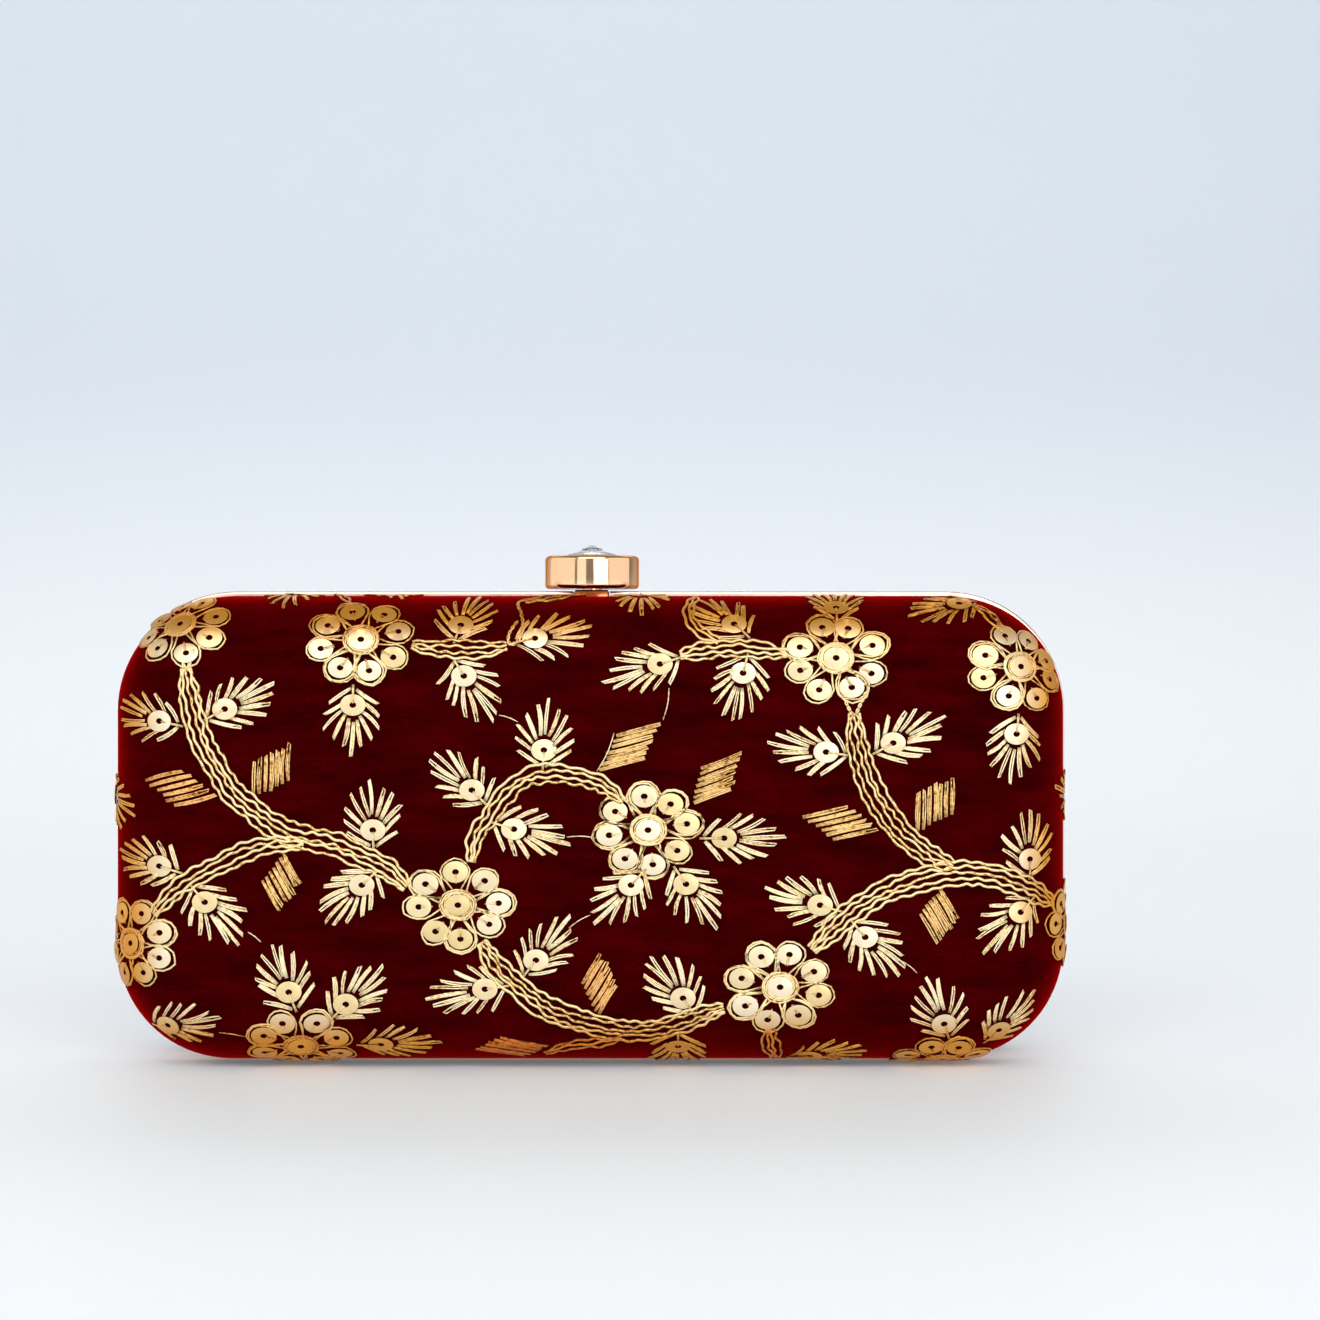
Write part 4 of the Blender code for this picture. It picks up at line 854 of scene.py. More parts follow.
class CLUTCH_OT_clasp(bpy.types.Operator):
    """Turn the clasp's drum, neck and button, and cut its crystal"""

    bl_idname = "clutch.clasp"
    bl_label = "Crystal Clasp"

    def execute(self, context):
        self.neck()
        self.drum()
        self.button()
        self.crystal()
        return {"FINISHED"}

    def neck(self):
        neck = new_piece("neck_block", *block(NECK_LOW, NECK_HIGH), plate("neck_plate"))
        work = bmesh.new()
        work.from_mesh(neck.data)
        bmesh.ops.bevel(work, geom=work.edges[:], offset=NECK_BEVEL, segments=3, profile=0.5,
                        affect="EDGES")
        work.to_mesh(neck.data)
        work.free()
        cut(neck, *rod(SHANK_HOLE, (0, 0, NECK_LOW.z - CUT_PAST), (0, 0, NECK_HIGH.z + CUT_PAST)))
        smooth_again(neck)
        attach(neck, "back_half")
        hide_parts("clasp_neck")

    def drum(self):
        radius, base, top = DRUM_HIGH.x, NECK_HIGH.z + DRUM_GAP, DRUM_HIGH.z
        floor = base + DRUM_FLOOR
        low, high = sizes().drum_bottom_round, sizes().drum_top_round
        profile = [
            (SHANK_RADIUS, DRUM_LOW.z), (SHANK_RADIUS, base),
            *bend((radius - low, base + low), low, 270, 360, 8),
            *bend((radius - high, top - high), high, 0, 90, 8),
            *bend((DRUM_BORE + DRUM_LIP, top - DRUM_LIP), DRUM_LIP, 90, 180, 4),
            (DRUM_BORE, floor), (SHANK_BORE, floor), (SHANK_BORE, DRUM_LOW.z),
        ]
        drum = turned("drum_case", profile, plate("rose_gold"), closed=True)
        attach(drum, "back_half")
        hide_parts("clasp_drum")

    def button(self):
        radius, foot, top = PLUNGER_HIGH.x, PLUNGER_LOW.z, PLUNGER_HIGH.z
        base = top - CUP_DEPTH
        seat = base + CUP_FLOOR
        profile = [
            (PLUNGER_TIP, foot), (PLUNGER_STEM, foot + PLUNGER_CHAMFER), (PLUNGER_STEM, base),
            (radius - CUP_CHAMFER, base), (radius, base + CUP_CHAMFER),
            *bend((radius - CUP_ROUND, top - CUP_ROUND), CUP_ROUND, 0, 90, 3),
            (radius - CUP_WALL, top), (radius - CUP_WALL, seat), (radius - 2 * CUP_WALL, seat),
        ]
        cup = turned("button_cup", profile, plate("rose_gold"))
        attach(cup, "push_button")
        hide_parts("button_plunger")

    def crystal(self):
        low, high, width, facets = CRYSTAL_LOW.z, CRYSTAL_HIGH.z, CRYSTAL_HIGH.x, STONE_FACETS
        crown, girdle = high - STONE_CROWN, PLUNGER_HIGH.z + STONE_GIRDLE_RISE
        # Table, star, raised crown, bezel, girdle and foiled back, each half a facet on from the last.
        rings = ((0.6 * MM, high), (1.5 * MM, high - 0.22 * MM), (2.1 * MM, high - 0.62 * MM),
                 (2.3 * MM, crown), (3.9 * MM, (crown + girdle) / 2), (width, girdle),
                 (width, girdle - STONE_GIRDLE), (STONE_FOOT * width, low))
        points, faces = [], []
        for row, (radius, height) in enumerate(rings):
            for at in range(facets):
                angle = 2 * math.pi * (at + row / 2) / facets
                points.append((radius * math.cos(angle), radius * math.sin(angle), height))
        for row in range(len(rings) - 1):
            for at in range(facets):
                past = (at + 1) % facets
                near, far = row * facets, (row + 1) * facets
                faces += [(near + at, near + past, far + at), (near + past, far + past, far + at)]
        faces += [range(facets), range((len(rings) - 1) * facets, len(rings) * facets)]
        stone = new_piece("cut_stone", points, faces, cut_crystal(), sharp=1)
        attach(stone, "push_button")
        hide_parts("crystal")
        # The foil lies a gap outside the stone's back, up to just under its girdle.
        gap, rim = FOIL_GAP, girdle - FOIL_DROP
        profile = [(0.8 * width, low - 3 * gap), (0.87 * width, low - 3 * gap), (width + 2 * gap, rim),
                   (width + gap, rim), (STONE_FOOT * width + gap, low - gap), (0.3 * width, low - gap)]
        foil = turned("stone_foil", profile, silver_foil())
        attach(foil, "push_button")


COIL_WIRE = 0.4 * MM
COIL_TURNS = 2.5
COIL_TURN_STEPS = 28
# Cuts across the latch leaf, in millimetres along it.
LEAF_CUTS = (-3.2, 18.9, 0.6)
STEEL_NODES = (
    "hinge_pin_left", "hinge_pin_right", "clasp_backing_plate", "clasp_ring_nut", "backing_rivet_left",
    "backing_rivet_right", "latch_rivet_inner", "latch_rivet_outer", "strike_plate",
    "strike_rivet_left", "strike_rivet_right", "plunger_clip",
)
SHELL_NODES = ("front_shell", "back_shell")


class CLUTCH_OT_works(bpy.types.Operator):
    """Finish the springs, plates, rivets, pins and shells of the works"""

    bl_idname = "clutch.works"
    bl_label = "Springs And Works"

    def execute(self, context):
        for names, finish in ((STEEL_NODES, nickelled_steel()), (SHELL_NODES, moulded_shell())):
            for name in names:
                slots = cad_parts[name].data.materials
                slots.clear()
                slots.append(finish)
        self.coil()
        self.leaf()
        return {"FINISHED"}

    def coil(self):
        thick = COIL_WIRE / 2
        radius, low, high = COIL_HIGH.x - thick, COIL_LOW.z + thick, COIL_HIGH.z - thick
        along = np.linspace(0, 1, int(COIL_TURNS * COIL_TURN_STEPS) + 1)
        angle = 2 * math.pi * COIL_TURNS * along
        # The last quarter turn at each end lies flat.
        rise = np.interp(along, (0, 0.1, 0.9, 1), (0, 0, 1, 1))
        path = np.column_stack((radius * np.cos(angle), radius * np.sin(angle),
                                low + (high - low) * rise))
        spool = Spool()
        spool.wind(path, np.column_stack((np.cos(angle), np.sin(angle), 0 * angle)), thick, 10)
        coil = spool.piece("return_coil", nickelled_steel())
        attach(coil, "back_half")
        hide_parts("button_spring")
        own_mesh(coil)

    def leaf(self):
        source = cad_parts["latch_spring"]
        work = bmesh.new()
        work.from_mesh(source.data)
        bmesh.ops.remove_doubles(work, verts=work.verts[:], dist=0.001 * MM)
        bmesh.ops.dissolve_limit(work, angle_limit=math.radians(1), verts=work.verts[:],
                                 edges=work.edges[:])
        for x in np.arange(*LEAF_CUTS):
            bmesh.ops.bisect_plane(work, geom=work.verts[:] + work.edges[:] + work.faces[:],
                                   plane_co=(x * MM, 0, 0), plane_no=(1, 0, 0))
        shape = bpy.data.meshes.new("latch_leaf")
        work.to_mesh(shape)
        work.free()
        shape.materials.append(nickelled_steel())
        leaf = bpy.data.objects.new("latch_leaf", shape)
        bpy.context.scene.collection.objects.link(leaf)
        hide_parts("latch_spring")
        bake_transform(leaf)


# Embroidery.

# The corner of the face's flat part, and the room left on the wall before the frame.
CORE_CORNER = 9.8 * MM
WALL_ROOM = FACE_DEPTH - EDGE_ROUND - FRAME_BAND - 0.5 * MM


def beyond_core(flat):
    """How far flat points lie beyond the face's flat part, and the way outward."""
    reach = np.abs(flat) - (CORE_HALF - CORE_CORNER)
    outside = np.maximum(reach, 0)
    gap = np.hypot(outside[:, 0], outside[:, 1])
    past = gap + np.minimum(reach.max(axis=1), 0) - CORE_CORNER
    way = np.zeros_like(flat)
    corner = gap > 1e-9
    way[corner] = outside[corner] / gap[corner, None]
    way[~corner, 0] = reach[~corner, 0] >= reach[~corner, 1]
    way[~corner, 1] = reach[~corner, 0] < reach[~corner, 1]
    return past, way * np.where(flat < 0, -1, 1)


def lay(flat, lift):
    """Lay flat cloth points on the front, round its rolled edge; gives points, normals, room left."""
    past, way = beyond_core(flat)
    over = np.maximum(past, 0)
    angle = np.minimum(over / EDGE_ROUND, math.pi / 2)
    wall = np.maximum(over - EDGE_ROUND * math.pi / 2, 0)
    ground = flat + way * (EDGE_ROUND * np.sin(angle) - over)[:, None]
    depth = -FACE_DEPTH + EDGE_ROUND * (1 - np.cos(angle)) + wall
    points = np.column_stack((ground[:, 0], depth, ground[:, 1] + MIDDLE_Z))
    normals = np.column_stack((way[:, 0] * np.sin(angle), -np.cos(angle), way[:, 1] * np.sin(angle)))
    return points + normals * np.reshape(lift, (-1, 1)), normals, WALL_ROOM - wall


def from_photo(pixel):
    """Carry a pixel of the photograph back to the flat cloth, in metres from the face's middle."""
    depth, flat = FACE_DEPTH, None
    for _ in range(8):
        each = PHOTO_SPAN / PHOTO_PIXELS * (LENS_DISTANCE - depth) / (LENS_DISTANCE - SPAN_DEPTH)
        seen = np.array([[LENS_X + (pixel[0] - PHOTO_PIXELS / 2) * each,
                          LENS_Z - (pixel[1] - PHOTO_PIXELS / 2) * each - MIDDLE_Z]])
        past, way = beyond_core(seen)
        over = max(past[0], 0)
        angle = math.asin(min(over / EDGE_ROUND, 1))
        depth = FACE_DEPTH - EDGE_ROUND * (1 - math.cos(angle))
        flat = seen[0] + way[0] * (EDGE_ROUND * angle - over)
    return flat


class Spool:
    """Gathers threads, each a tube along a path, into one mesh with the length in UV."""

    def __init__(self):
        self.points, self.faces, self.marks, self.count = [], [], [], 0

    def wind(self, path, normals, radius, sides=6, closed=False):
        """Add one tube; radius may change along the path."""
        path = np.asarray(path, float)
        ahead = np.roll(path, -1, 0) - np.roll(path, 1, 0)
        if not closed:
            ahead[0], ahead[-1] = path[1] - path[0], path[-1] - path[-2]
        ahead /= np.maximum(np.linalg.norm(ahead, axis=1), 1e-12)[:, None]
        across = np.cross(ahead, normals)
        across /= np.maximum(np.linalg.norm(across, axis=1), 1e-12)[:, None]
        upward = np.cross(across, ahead)
        turn = np.linspace(0, 2 * math.pi, sides, endpoint=False)
        size = np.broadcast_to(radius, len(path))[:, None, None]
        ring = (across[:, None] * np.cos(turn)[:, None]
                + upward[:, None] * np.sin(turn)[:, None]) * size
        self.points.append((path[:, None] + ring).reshape(-1, 3))
        rows = len(path)
        steps = np.linalg.norm(np.diff(path, axis=0), axis=1)
        length = np.concatenate(([0], np.cumsum(steps))) / MM
        if closed:
            length = np.append(length, length[-1] + np.linalg.norm(path[0] - path[-1]) / MM)
        for row in range(rows if closed else rows - 1):
            near, far = self.count + row * sides, self.count + (row + 1) % rows * sides
            self.faces += ring_faces(near, far, sides)
            start, end = length[row:row + 2]
            for at in range(sides):
                u, v = at / sides, (at + 1) / sides
                self.marks += [(u, start), (v, start), (v, end), (u, end)]
        if not closed:
            last = self.count + (rows - 1) * sides
            self.faces += [range(self.count, self.count + sides)[::-1], range(last, last + sides)]
            self.marks += [(0.5, length[0])] * sides + [(0.5, length[-1])] * sides
        self.count += rows * sides

    def couch(self, flat, radius, lift, sides=6, closed=False):
        """Lay a flat path on the cloth and wind thread along the stretches that clear the frame."""
        points, normals, room = lay(np.asarray(flat, float), lift)
        clear = room > radius
        if clear.all():
            self.wind(points, normals, radius, sides, closed)
            return
        start = None
        for at, free in enumerate([*clear, False]):
            if free and start is None:
                start = at
            if not free and start is not None:
                if at - start > 1:
                    self.wind(points[start:at], normals[start:at], radius, sides)
                start = None

    def piece(self, name, material):
        piece = new_piece(name, np.concatenate(self.points), self.faces, material, sharp=0,
                          outward=False)
        marks = piece.data.uv_layers.new(name="along_thread")
        marks.data.foreach_set("uv", np.asarray(self.marks, np.float32).ravel())
        return piece


# Flowers: middle in photo pixels, turn of the first petal in degrees, then any shift in pixels of
# cloth for a flower whose middle has gone round the edge.
FLOWERS = (
    (181, 625, 15), (361, 640, 15), (648, 830, 8), (458, 905, 7), (836, 658, 22), (780, 987, 30),
    (1020, 667, 22), (132, 943, 22), (301, 1045, 22), (1055, 926, 0, 37, 0), (945, 1044, 22, 0, -33),
)
# Sprays: sequin in photo pixels, heading in degrees from the right, then any shift as above.
SPRAYS = (
    (160, 721, 165), (225, 709, 33), (353, 705, -91), (461, 626, 75), (464, 676, -63), (535, 639, 15),
    (544, 750, 87), (472, 790, 130), (373, 830, 92), (514, 829, -20), (362, 885, 228), (160, 866, 160),
    (205, 902, -55), (289, 992, 108), (346, 1004, 50), (536, 960, 57), (485, 989, 190), (169, 1024, 15),
    (381, 1043, 3), (734, 625, 130), (660, 664, 200), (743, 673, -102), (836, 609, 90), (826, 752, 170),
    (893, 743, 33), (1016, 734, -95), (959, 605, 205), (641, 590, -90, 0, -6), (724, 838, 1),
    (631, 885, 232), (686, 884, -60), (683, 998, 121), (820, 905, 160), (865, 937, -55),
    (1029, 859, 89), (1020, 912, 230), (944, 1023, 106), (998, 1029, 54), (810, 1054, 14),
    (678, 1045, -90),
    (296, 590, -97, 0, 7), (120, 795, -25, -22, 0), (1061, 797, 168, 42, 0), (388, 590, -75, 0, 24),
)
# Filled leaves: middles of the first and last stroke, strokes, their angle and length in pixels.
GOLD_LEAVES = (
    ((254, 779), (289, 763), 7, 88, 36), ((292, 868), (271, 896), 7, -61, 35),
    ((638, 730), (622, 764), 7, 15, 45), ((720, 761), (712, 796), 7, 21, 42),
    ((825, 812), (856, 834), 6, 13, 46), ((918, 812), (952, 795), 7, 89, 38),
    ((948, 903), (929, 929), 7, -60, 36),
)
COPPER_LEAVES = (
    ((163, 776), (195, 800), 6, 14, 42), ((591, 969), (608, 999), 7, 59, 36),
    ((524, 1041), (500, 1051), 6, -14, 50),
)
# Stems: cords side by side, whether copper, and the middle line in photo pixels.
STEMS = (
    (5, False, ((186, 668), (190, 693), (194, 715), (199, 734), (207, 753), (219, 772), (234, 794),
                (252, 809), (272, 824), (290, 834), (312, 839), (334, 844), (359, 855), (378, 864),
                (393, 874), (407, 887))),
    (4, False, ((154, 914), (168, 897), (185, 884), (202, 874), (220, 865), (240, 854), (260, 847),
                (281, 844), (304, 844))),
    (4, False, ((412, 645), (430, 648), (457, 650), (480, 650), (507, 647))),
    (4, False, ((471, 862), (475, 840), (480, 828), (488, 819), (497, 804), (512, 788), (531, 776),
                (552, 773), (572, 775), (590, 779), (602, 784), (613, 792), (623, 802))),
    (5, False, ((481, 942), (491, 957), (503, 973), (517, 986), (532, 998), (549, 1009), (569, 1017),
                (590, 1023), (613, 1028), (636, 1030), (659, 1028), (682, 1022), (703, 1014),
                (724, 1008))),
    (3, True, ((622, 1036), (602, 1041), (580, 1043), (561, 1046), (545, 1051))),
    (5, False, ((854, 713), (855, 730), (858, 750), (864, 769), (871, 787), (882, 806), (896, 827),
                (916, 845), (934, 858), (953, 865))),
    (5, False, ((812, 950), (830, 931), (845, 917), (861, 906), (879, 895), (899, 886), (922, 879),
                (945, 874), (968, 873), (991, 875), (1011, 881), (1029, 889), (1045, 899),
                (1051, 902))),
    (4, False, ((680, 655), (697, 652), (720, 649), (743, 649), (766, 651), (788, 655))),
    (3, False, ((697, 599), (689, 608), (690, 620), (699, 632), (719, 642))),
    (4, True, ((770, 1028), (770, 1040), (776, 1056))),
    (3, False, ((972, 606), (985, 613), (994, 622), (1003, 633))),
    (3, False, ((584, 596), (562, 598), (545, 600), (525, 603))),
    (2, True, ((336, 594), (345, 599), (350, 605), (354, 612))),
)
# Single cords, and the thin threads carried from one motif to the next.
SINGLE_CORDS = (
    ((526, 601), (518, 605), (521, 614), (523, 625), (521, 637), (513, 645), (508, 641), (511, 631),
     (518, 622)),
    ((843, 695), (848, 707), (853, 716)), ((866, 692), (860, 705), (855, 716)),
    ((180, 652), (183, 662), (186, 671)), ((194, 650), (191, 661), (187, 671)),
)
JUMP_THREADS = (
    ((499, 715), (518, 722)), ((669, 688), (663, 720)), ((614, 733), (597, 771)),
    ((248, 932), (261, 942)), ((219, 1032), (245, 1036)), ((569, 928), (590, 915)),
    ((900, 960), (917, 973)), ((567, 837), (596, 838)),
)
# A spray in millimetres: its middle stroke, then those of one side, each from start along and across
# to end along and across.
SPRAY_TIP = (3.6, 0.0, 11.2, 0.0)
SPRAY_STROKES = (
    (-3.6, 0.5, -0.2, 4.7), (-0.6, 1.9, 2.7, 5.3), (1.2, 1.8, 5.3, 5.0), (2.3, 1.4, 7.8, 3.7),
    (3.1, 0.7, 9.7, 2.0),
)
# How far a spray's strokes stray along and across at their start and at their end.
START_STRAYS = (0.25, 0.2)
END_STRAYS = (0.6, 0.5)
# The stalk's two threads: where they start and end along the spray, and how far they part.
STALK = (-0.4, -4.6)
STALK_PARTS = 0.13
# Flowers in millimetres: where the petals sit, and the rings of thread round the middle.
PETALS = 8
FLOWER_RADIUS = 7.4
MIDDLE_RINGS = (2.62, 3.06, 3.42)
RING_STITCHES = 9
RING_LIFT = 0.32 * MM
# A petal's loop: its foot on the middle, the ranges of its reach and width, and how far it turns.
PETAL_ROOT = 3.2
PETAL_FOOT = 0.65
LOOP_LENGTH = (2.8, 3.2)
LOOP_WIDTH = (2.6, 2.9)
LOOP_TURN = 138
LOOP_POINTS = 11
LOOP_LIFT = 0.3 * MM
PLY_GAP = 0.34
# The stitches that hold a petal's sequin: where they start and end inward of its middle, and their gap.
PETAL_STITCH = (0.45, 2.6)
PETAL_STITCH_PARTS = 0.12
SEQUIN_SIDES = 28
SEQUIN_TILT = 0.05
SEQUIN_LIFT = 0.38 * MM
# A second spot this far to the right shows which way the cloth runs under a sequin.
SEQUIN_STEP = 0.2 * MM
SEQUIN_FILM = 0.08 * MM
STITCH_RADIUS = 0.13 * MM
STITCH_LIFT = SEQUIN_LIFT + SEQUIN_FILM + 0.08 * MM
CLOTH_PIXEL = 0.2041 * MM
# Hairpin strokes in millimetres: the widest of a spray and of a leaf, by how much they vary, bow and
# slip, and the width from which a third strand lies inside, which sometimes stops short.
SPRAY_WIDEST = 0.36
LEAF_WIDEST = 0.40
WIDTH_VARIES = 0.16
STROKE_BOW = 0.3
STROKE_SLIP = 0.3
INNER_FROM = 0.25
INNER_SHORT_CHANCE = 0.4
# Stems: a couched cord's wave, the steps in which it varies, and the length drawn in at each end; then
# how far the wave drifts in radians, and swings and wanders in millimetres.
STEM_WAVE = 3.5 * MM
STEM_KNOTS = 4 * MM
STEM_GATHER = 5 * MM
STEM_DRIFT = 1.6
STEM_SWING = (0.08, 0.26)
STEM_WANDER = 0.3
CORD_WAVE = 2.4 * MM
CORD_SWING = 0.22 * MM
JUMP_RADIUS = 0.14 * MM
JUMP_SAG = 0.05
LINE_STEP = 0.33 * MM


def ways(angle):
    """The way ahead at an angle on the flat cloth, and the way to its left."""
    ahead = np.array((math.cos(angle), math.sin(angle)))
    return ahead, np.array((-ahead[1], ahead[0]))


def place_motif(spot):
    """The flat cloth point of a motif, with its shift round the edge if it has one."""
    shift = np.array(spot[3:] or (0, 0)) * CLOTH_PIXEL
    return from_photo(spot[:2]) + shift


class CLUTCH_OT_embroidery(bpy.types.Operator):
    """Work the vine of sequin flowers, sprays, leaves and stems on both faces"""

    bl_idname = "clutch.embroidery"
    bl_label = "Vine Embroidery"

    def execute(self, context):
        self.chance = random.Random(SEED)
        self.pale, self.warm, self.gold, self.copper = Spool(), Spool(), Spool(), Spool()
        self.discs = []
        for stem in STEMS:
            self.stem(*stem)
        for leaf in GOLD_LEAVES:
            self.leaf(self.gold, *leaf)
        for leaf in COPPER_LEAVES:
            self.leaf(self.copper, *leaf)
        for spray in SPRAYS:
            self.spray(place_motif(spray), math.radians(spray[2]))
        for flower in FLOWERS:
            self.flower(place_motif(flower), math.radians(flower[2]))
        for line in SINGLE_CORDS:
            self.cord(line)
        for start, end in JUMP_THREADS:
            self.jump(from_photo(start), from_photo(end))
        spools = zip(THREADS, (self.pale, self.warm, self.gold, self.copper))
        front = [spool.piece(f"front_{kind}", metal_thread(kind)) for kind, spool in spools]
        front.append(self.sequins("front_sequins"))
        back = []
        for piece in front:
            twin = bpy.data.objects.new(piece.name.replace("front", "back"), piece.data.copy())
            twin.data.transform(Matrix.Rotation(math.pi, 4, "Z"))
            bpy.context.scene.collection.objects.link(twin)
            back.append(twin)
        for pieces, (name, _, body) in zip((front, back), HALVES):
            for piece in pieces:
                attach(piece, body)
            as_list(pieces)
        return {"FINISHED"}

    def jitter(self, amount):
        return self.chance.uniform(-amount, amount)

    def stroke(self, spool, inner_spool, start, end, widest, points=5):
        """A blunt hairpin of thread from start to end and back, mostly with a third strand inside."""
        radius = sizes().stitch_thread / 2 * self.chance.uniform(0.85, 1.1)
        spread = self.chance.uniform(widest - WIDTH_VARIES, widest) * MM
        along = end - start
        ahead = along / np.hypot(*along)
        across = np.array((-ahead[1], ahead[0]))
        steps = np.linspace(0, 1, points)
        bow = across * self.jitter(STROKE_BOW) * MM
        wide = (spread * (0.4 + 0.6 * np.sin(math.pi * (0.1 + 0.72 * steps))))[:, None]
        middle = start + along * steps[:, None] + bow * np.sin(math.pi * steps)[:, None]
        slip = ahead * self.jitter(STROKE_SLIP) * MM * steps[:, None]
        path = np.concatenate((middle + across * wide + slip, (middle - across * wide - slip)[::-1]))
        arch = np.concatenate((steps, steps[::-1]))
        spool.couch(path, radius, radius * (0.35 + 0.9 * np.sqrt(arch)))
        if spread > INNER_FROM * MM:
            inner = slice(0, points - (self.chance.random() < INNER_SHORT_CHANCE))
            inner_spool.couch(middle[inner], radius, radius * (0.6 + 0.9 * np.sqrt(steps[inner])))

    def spray(self, centre, heading):
        """A sequin with a fan of hairpin strokes before it and a stalk behind it."""
        ahead, side = ways(heading)

        def at(along, across):
            return centre + (ahead * along + side * across) * MM * MOTIF_STRETCH

        strokes = [(hand, *stroke) for hand in (-1, 1) for stroke in SPRAY_STROKES]
        for hand, along, across, end_along, end_across in [*strokes, (1, *SPRAY_TIP)]:
            start = at(along + self.jitter(START_STRAYS[0]),
                       hand * across + self.jitter(START_STRAYS[1]))
            end = at(end_along + self.jitter(END_STRAYS[0]),
                     hand * end_across + self.jitter(END_STRAYS[1]))
            inner_spool = self.chance.choice((self.pale, self.warm))
            self.stroke(self.pale, inner_spool, start, end, SPRAY_WIDEST)
        self.disc(centre, 1.0)
        for across in (STALK_PARTS, -STALK_PARTS):
            self.thread(self.warm, at(STALK[0], across / 2), at(STALK[1], across), STITCH_RADIUS,
                        STITCH_LIFT)

    def flower(self, centre, turn):
        """A ringed sequin with sequin petals, each looped by thread and sewn down by a fan of it."""
        radius = sizes().petal_thread / 2
        self.disc(centre, 1.0)
        for size in MIDDLE_RINGS:
            self.warm.couch(centre + self.hand_ring(size, 0.04) * MM * MOTIF_STRETCH, 1.15 * radius,
                            RING_LIFT, closed=True)
        for petal in range(PETALS):
            angle = turn + math.radians(360 / PETALS * petal + self.jitter(4))
            ahead, side = ways(angle)
            reach = FLOWER_RADIUS + self.jitter(0.35)

            def at(along, across):
                flat = ahead * np.reshape(along, (-1, 1)) + side * np.reshape(across, (-1, 1))
                return centre + flat * MM * MOTIF_STRETCH

            self.disc(at(reach, self.jitter(0.15))[0], 1.0 + self.jitter(0.03))
            for ply in range(self.chance.choice((1, 2))):
                self.warm.couch(at(*self.petal_loop(reach, PLY_GAP * ply)), radius, LOOP_LIFT)
            near, far = (reach - inward for inward in PETAL_STITCH)
            for spread in (-PETAL_STITCH_PARTS, PETAL_STITCH_PARTS):
                self.thread(self.warm, at(near, spread)[0], at(far, spread + self.jitter(0.2))[0],
                            STITCH_RADIUS, STITCH_LIFT)

    def petal_loop(self, reach, out):
        """One loop round a petal, from the middle and back to it: distances along and across."""
        length = self.chance.uniform(*LOOP_LENGTH) + out
        width = self.chance.uniform(*LOOP_WIDTH) + out
        turn = np.radians(np.linspace(-LOOP_TURN, LOOP_TURN, LOOP_POINTS))
        bent = np.array([1 + self.jitter(0.05) for _ in turn])
        along = reach + length * np.cos(turn) * bent
        across = width * np.sin(turn) * bent
        root = PETAL_FOOT + self.jitter(0.2)
        return (np.concatenate(([PETAL_ROOT], along, [PETAL_ROOT])),
                np.concatenate(([-root], across, [root])))

    def hand_ring(self, size, wobble):
        """A ring of thread as a hand lays it, nearly straight from stitch to stitch."""
        stitches = RING_STITCHES
        start = self.chance.uniform(0, 2 * math.pi)
        knots = np.array([1 + self.jitter(wobble) for _ in range(stitches)])
        turn = np.linspace(0, 2 * math.pi, 2 * stitches, endpoint=False)
        reach = size * np.interp(np.arange(2 * stitches) / 2, np.arange(stitches + 1),
                                 np.append(knots, knots[0]))
        reach[1::2] *= 0.975
        return np.column_stack((np.cos(turn + start), np.sin(turn + start))) * reach[:, None]

    def thread(self, spool, start, end, radius, lift):
        """One short straight thread that dips at its far end."""
        steps = np.linspace(0, 1, 4)
        path = start + (end - start) * steps[:, None]
        spool.couch(path, radius, lift - 0.25 * MM * steps ** 3)

    def leaf(self, spool, first, last, strokes, angle, length):
        """A filled leaf of slanting strokes, each laid a step past the one before."""
        first, last = from_photo(first), from_photo(last)
        slant, _ = ways(math.radians(angle))
        for number in range(strokes):
            middle = first + (last - first) * number / (strokes - 1)
            half = slant * (length / 2 + self.jitter(1.5)) * CLOTH_PIXEL
            middle = middle + slant * self.jitter(0.3) * MM
            self.stroke(spool, spool, middle - half, middle + half, LEAF_WIDEST)

    def stem(self, cords, copper, line):
        """Wavy cords couched side by side, drawn together at both ends."""
        spool = self.copper if copper else self.warm
        middle, across, length = self.smooth_line(line)
        total = length[-1]
        from_end = np.minimum(length, total - length)
        gather = 0.42 + 0.58 * np.clip(from_end / STEM_GATHER, 0, 1) ** 0.7
        gather = gather * (0.95 + 0.15 * np.sin(math.pi * length / total))
        radius = sizes().stem_thread / 2
        knots = np.arange(0, total + 3 * STEM_KNOTS, STEM_KNOTS)
        for cord in range(cords):
            # The couching stitches draw the cords into waves, never evenly.
            drift = np.interp(length, knots, [self.jitter(STEM_DRIFT) for _ in knots])
            swing = np.interp(length, knots, [self.chance.uniform(*STEM_SWING) for _ in knots]) * MM
            wander = np.interp(length, knots, [self.jitter(STEM_WANDER) for _ in knots]) * MM
            phase = 2 * math.pi * length / STEM_WAVE + 2 * cord + drift
            offset = ((cord - (cords - 1) / 2) * sizes().stem_spacing + wander) * gather
            offset = offset + swing * np.sin(phase)
            lift = radius * (0.75 + 0.25 * np.sin(phase * 0.5 + cord))
            spool.couch(middle + across * offset[:, None], radius, lift, sides=8)

    def cord(self, line):
        """Two thin cords twined along a line."""
        middle, across, length = self.smooth_line(line)
        radius = sizes().stem_thread / 2
        for phase in (0, math.pi):
            offset = CORD_SWING * np.sin(2 * math.pi * length / CORD_WAVE + phase)
            self.warm.couch(middle + across * offset[:, None], radius * 0.7, radius * 0.8)

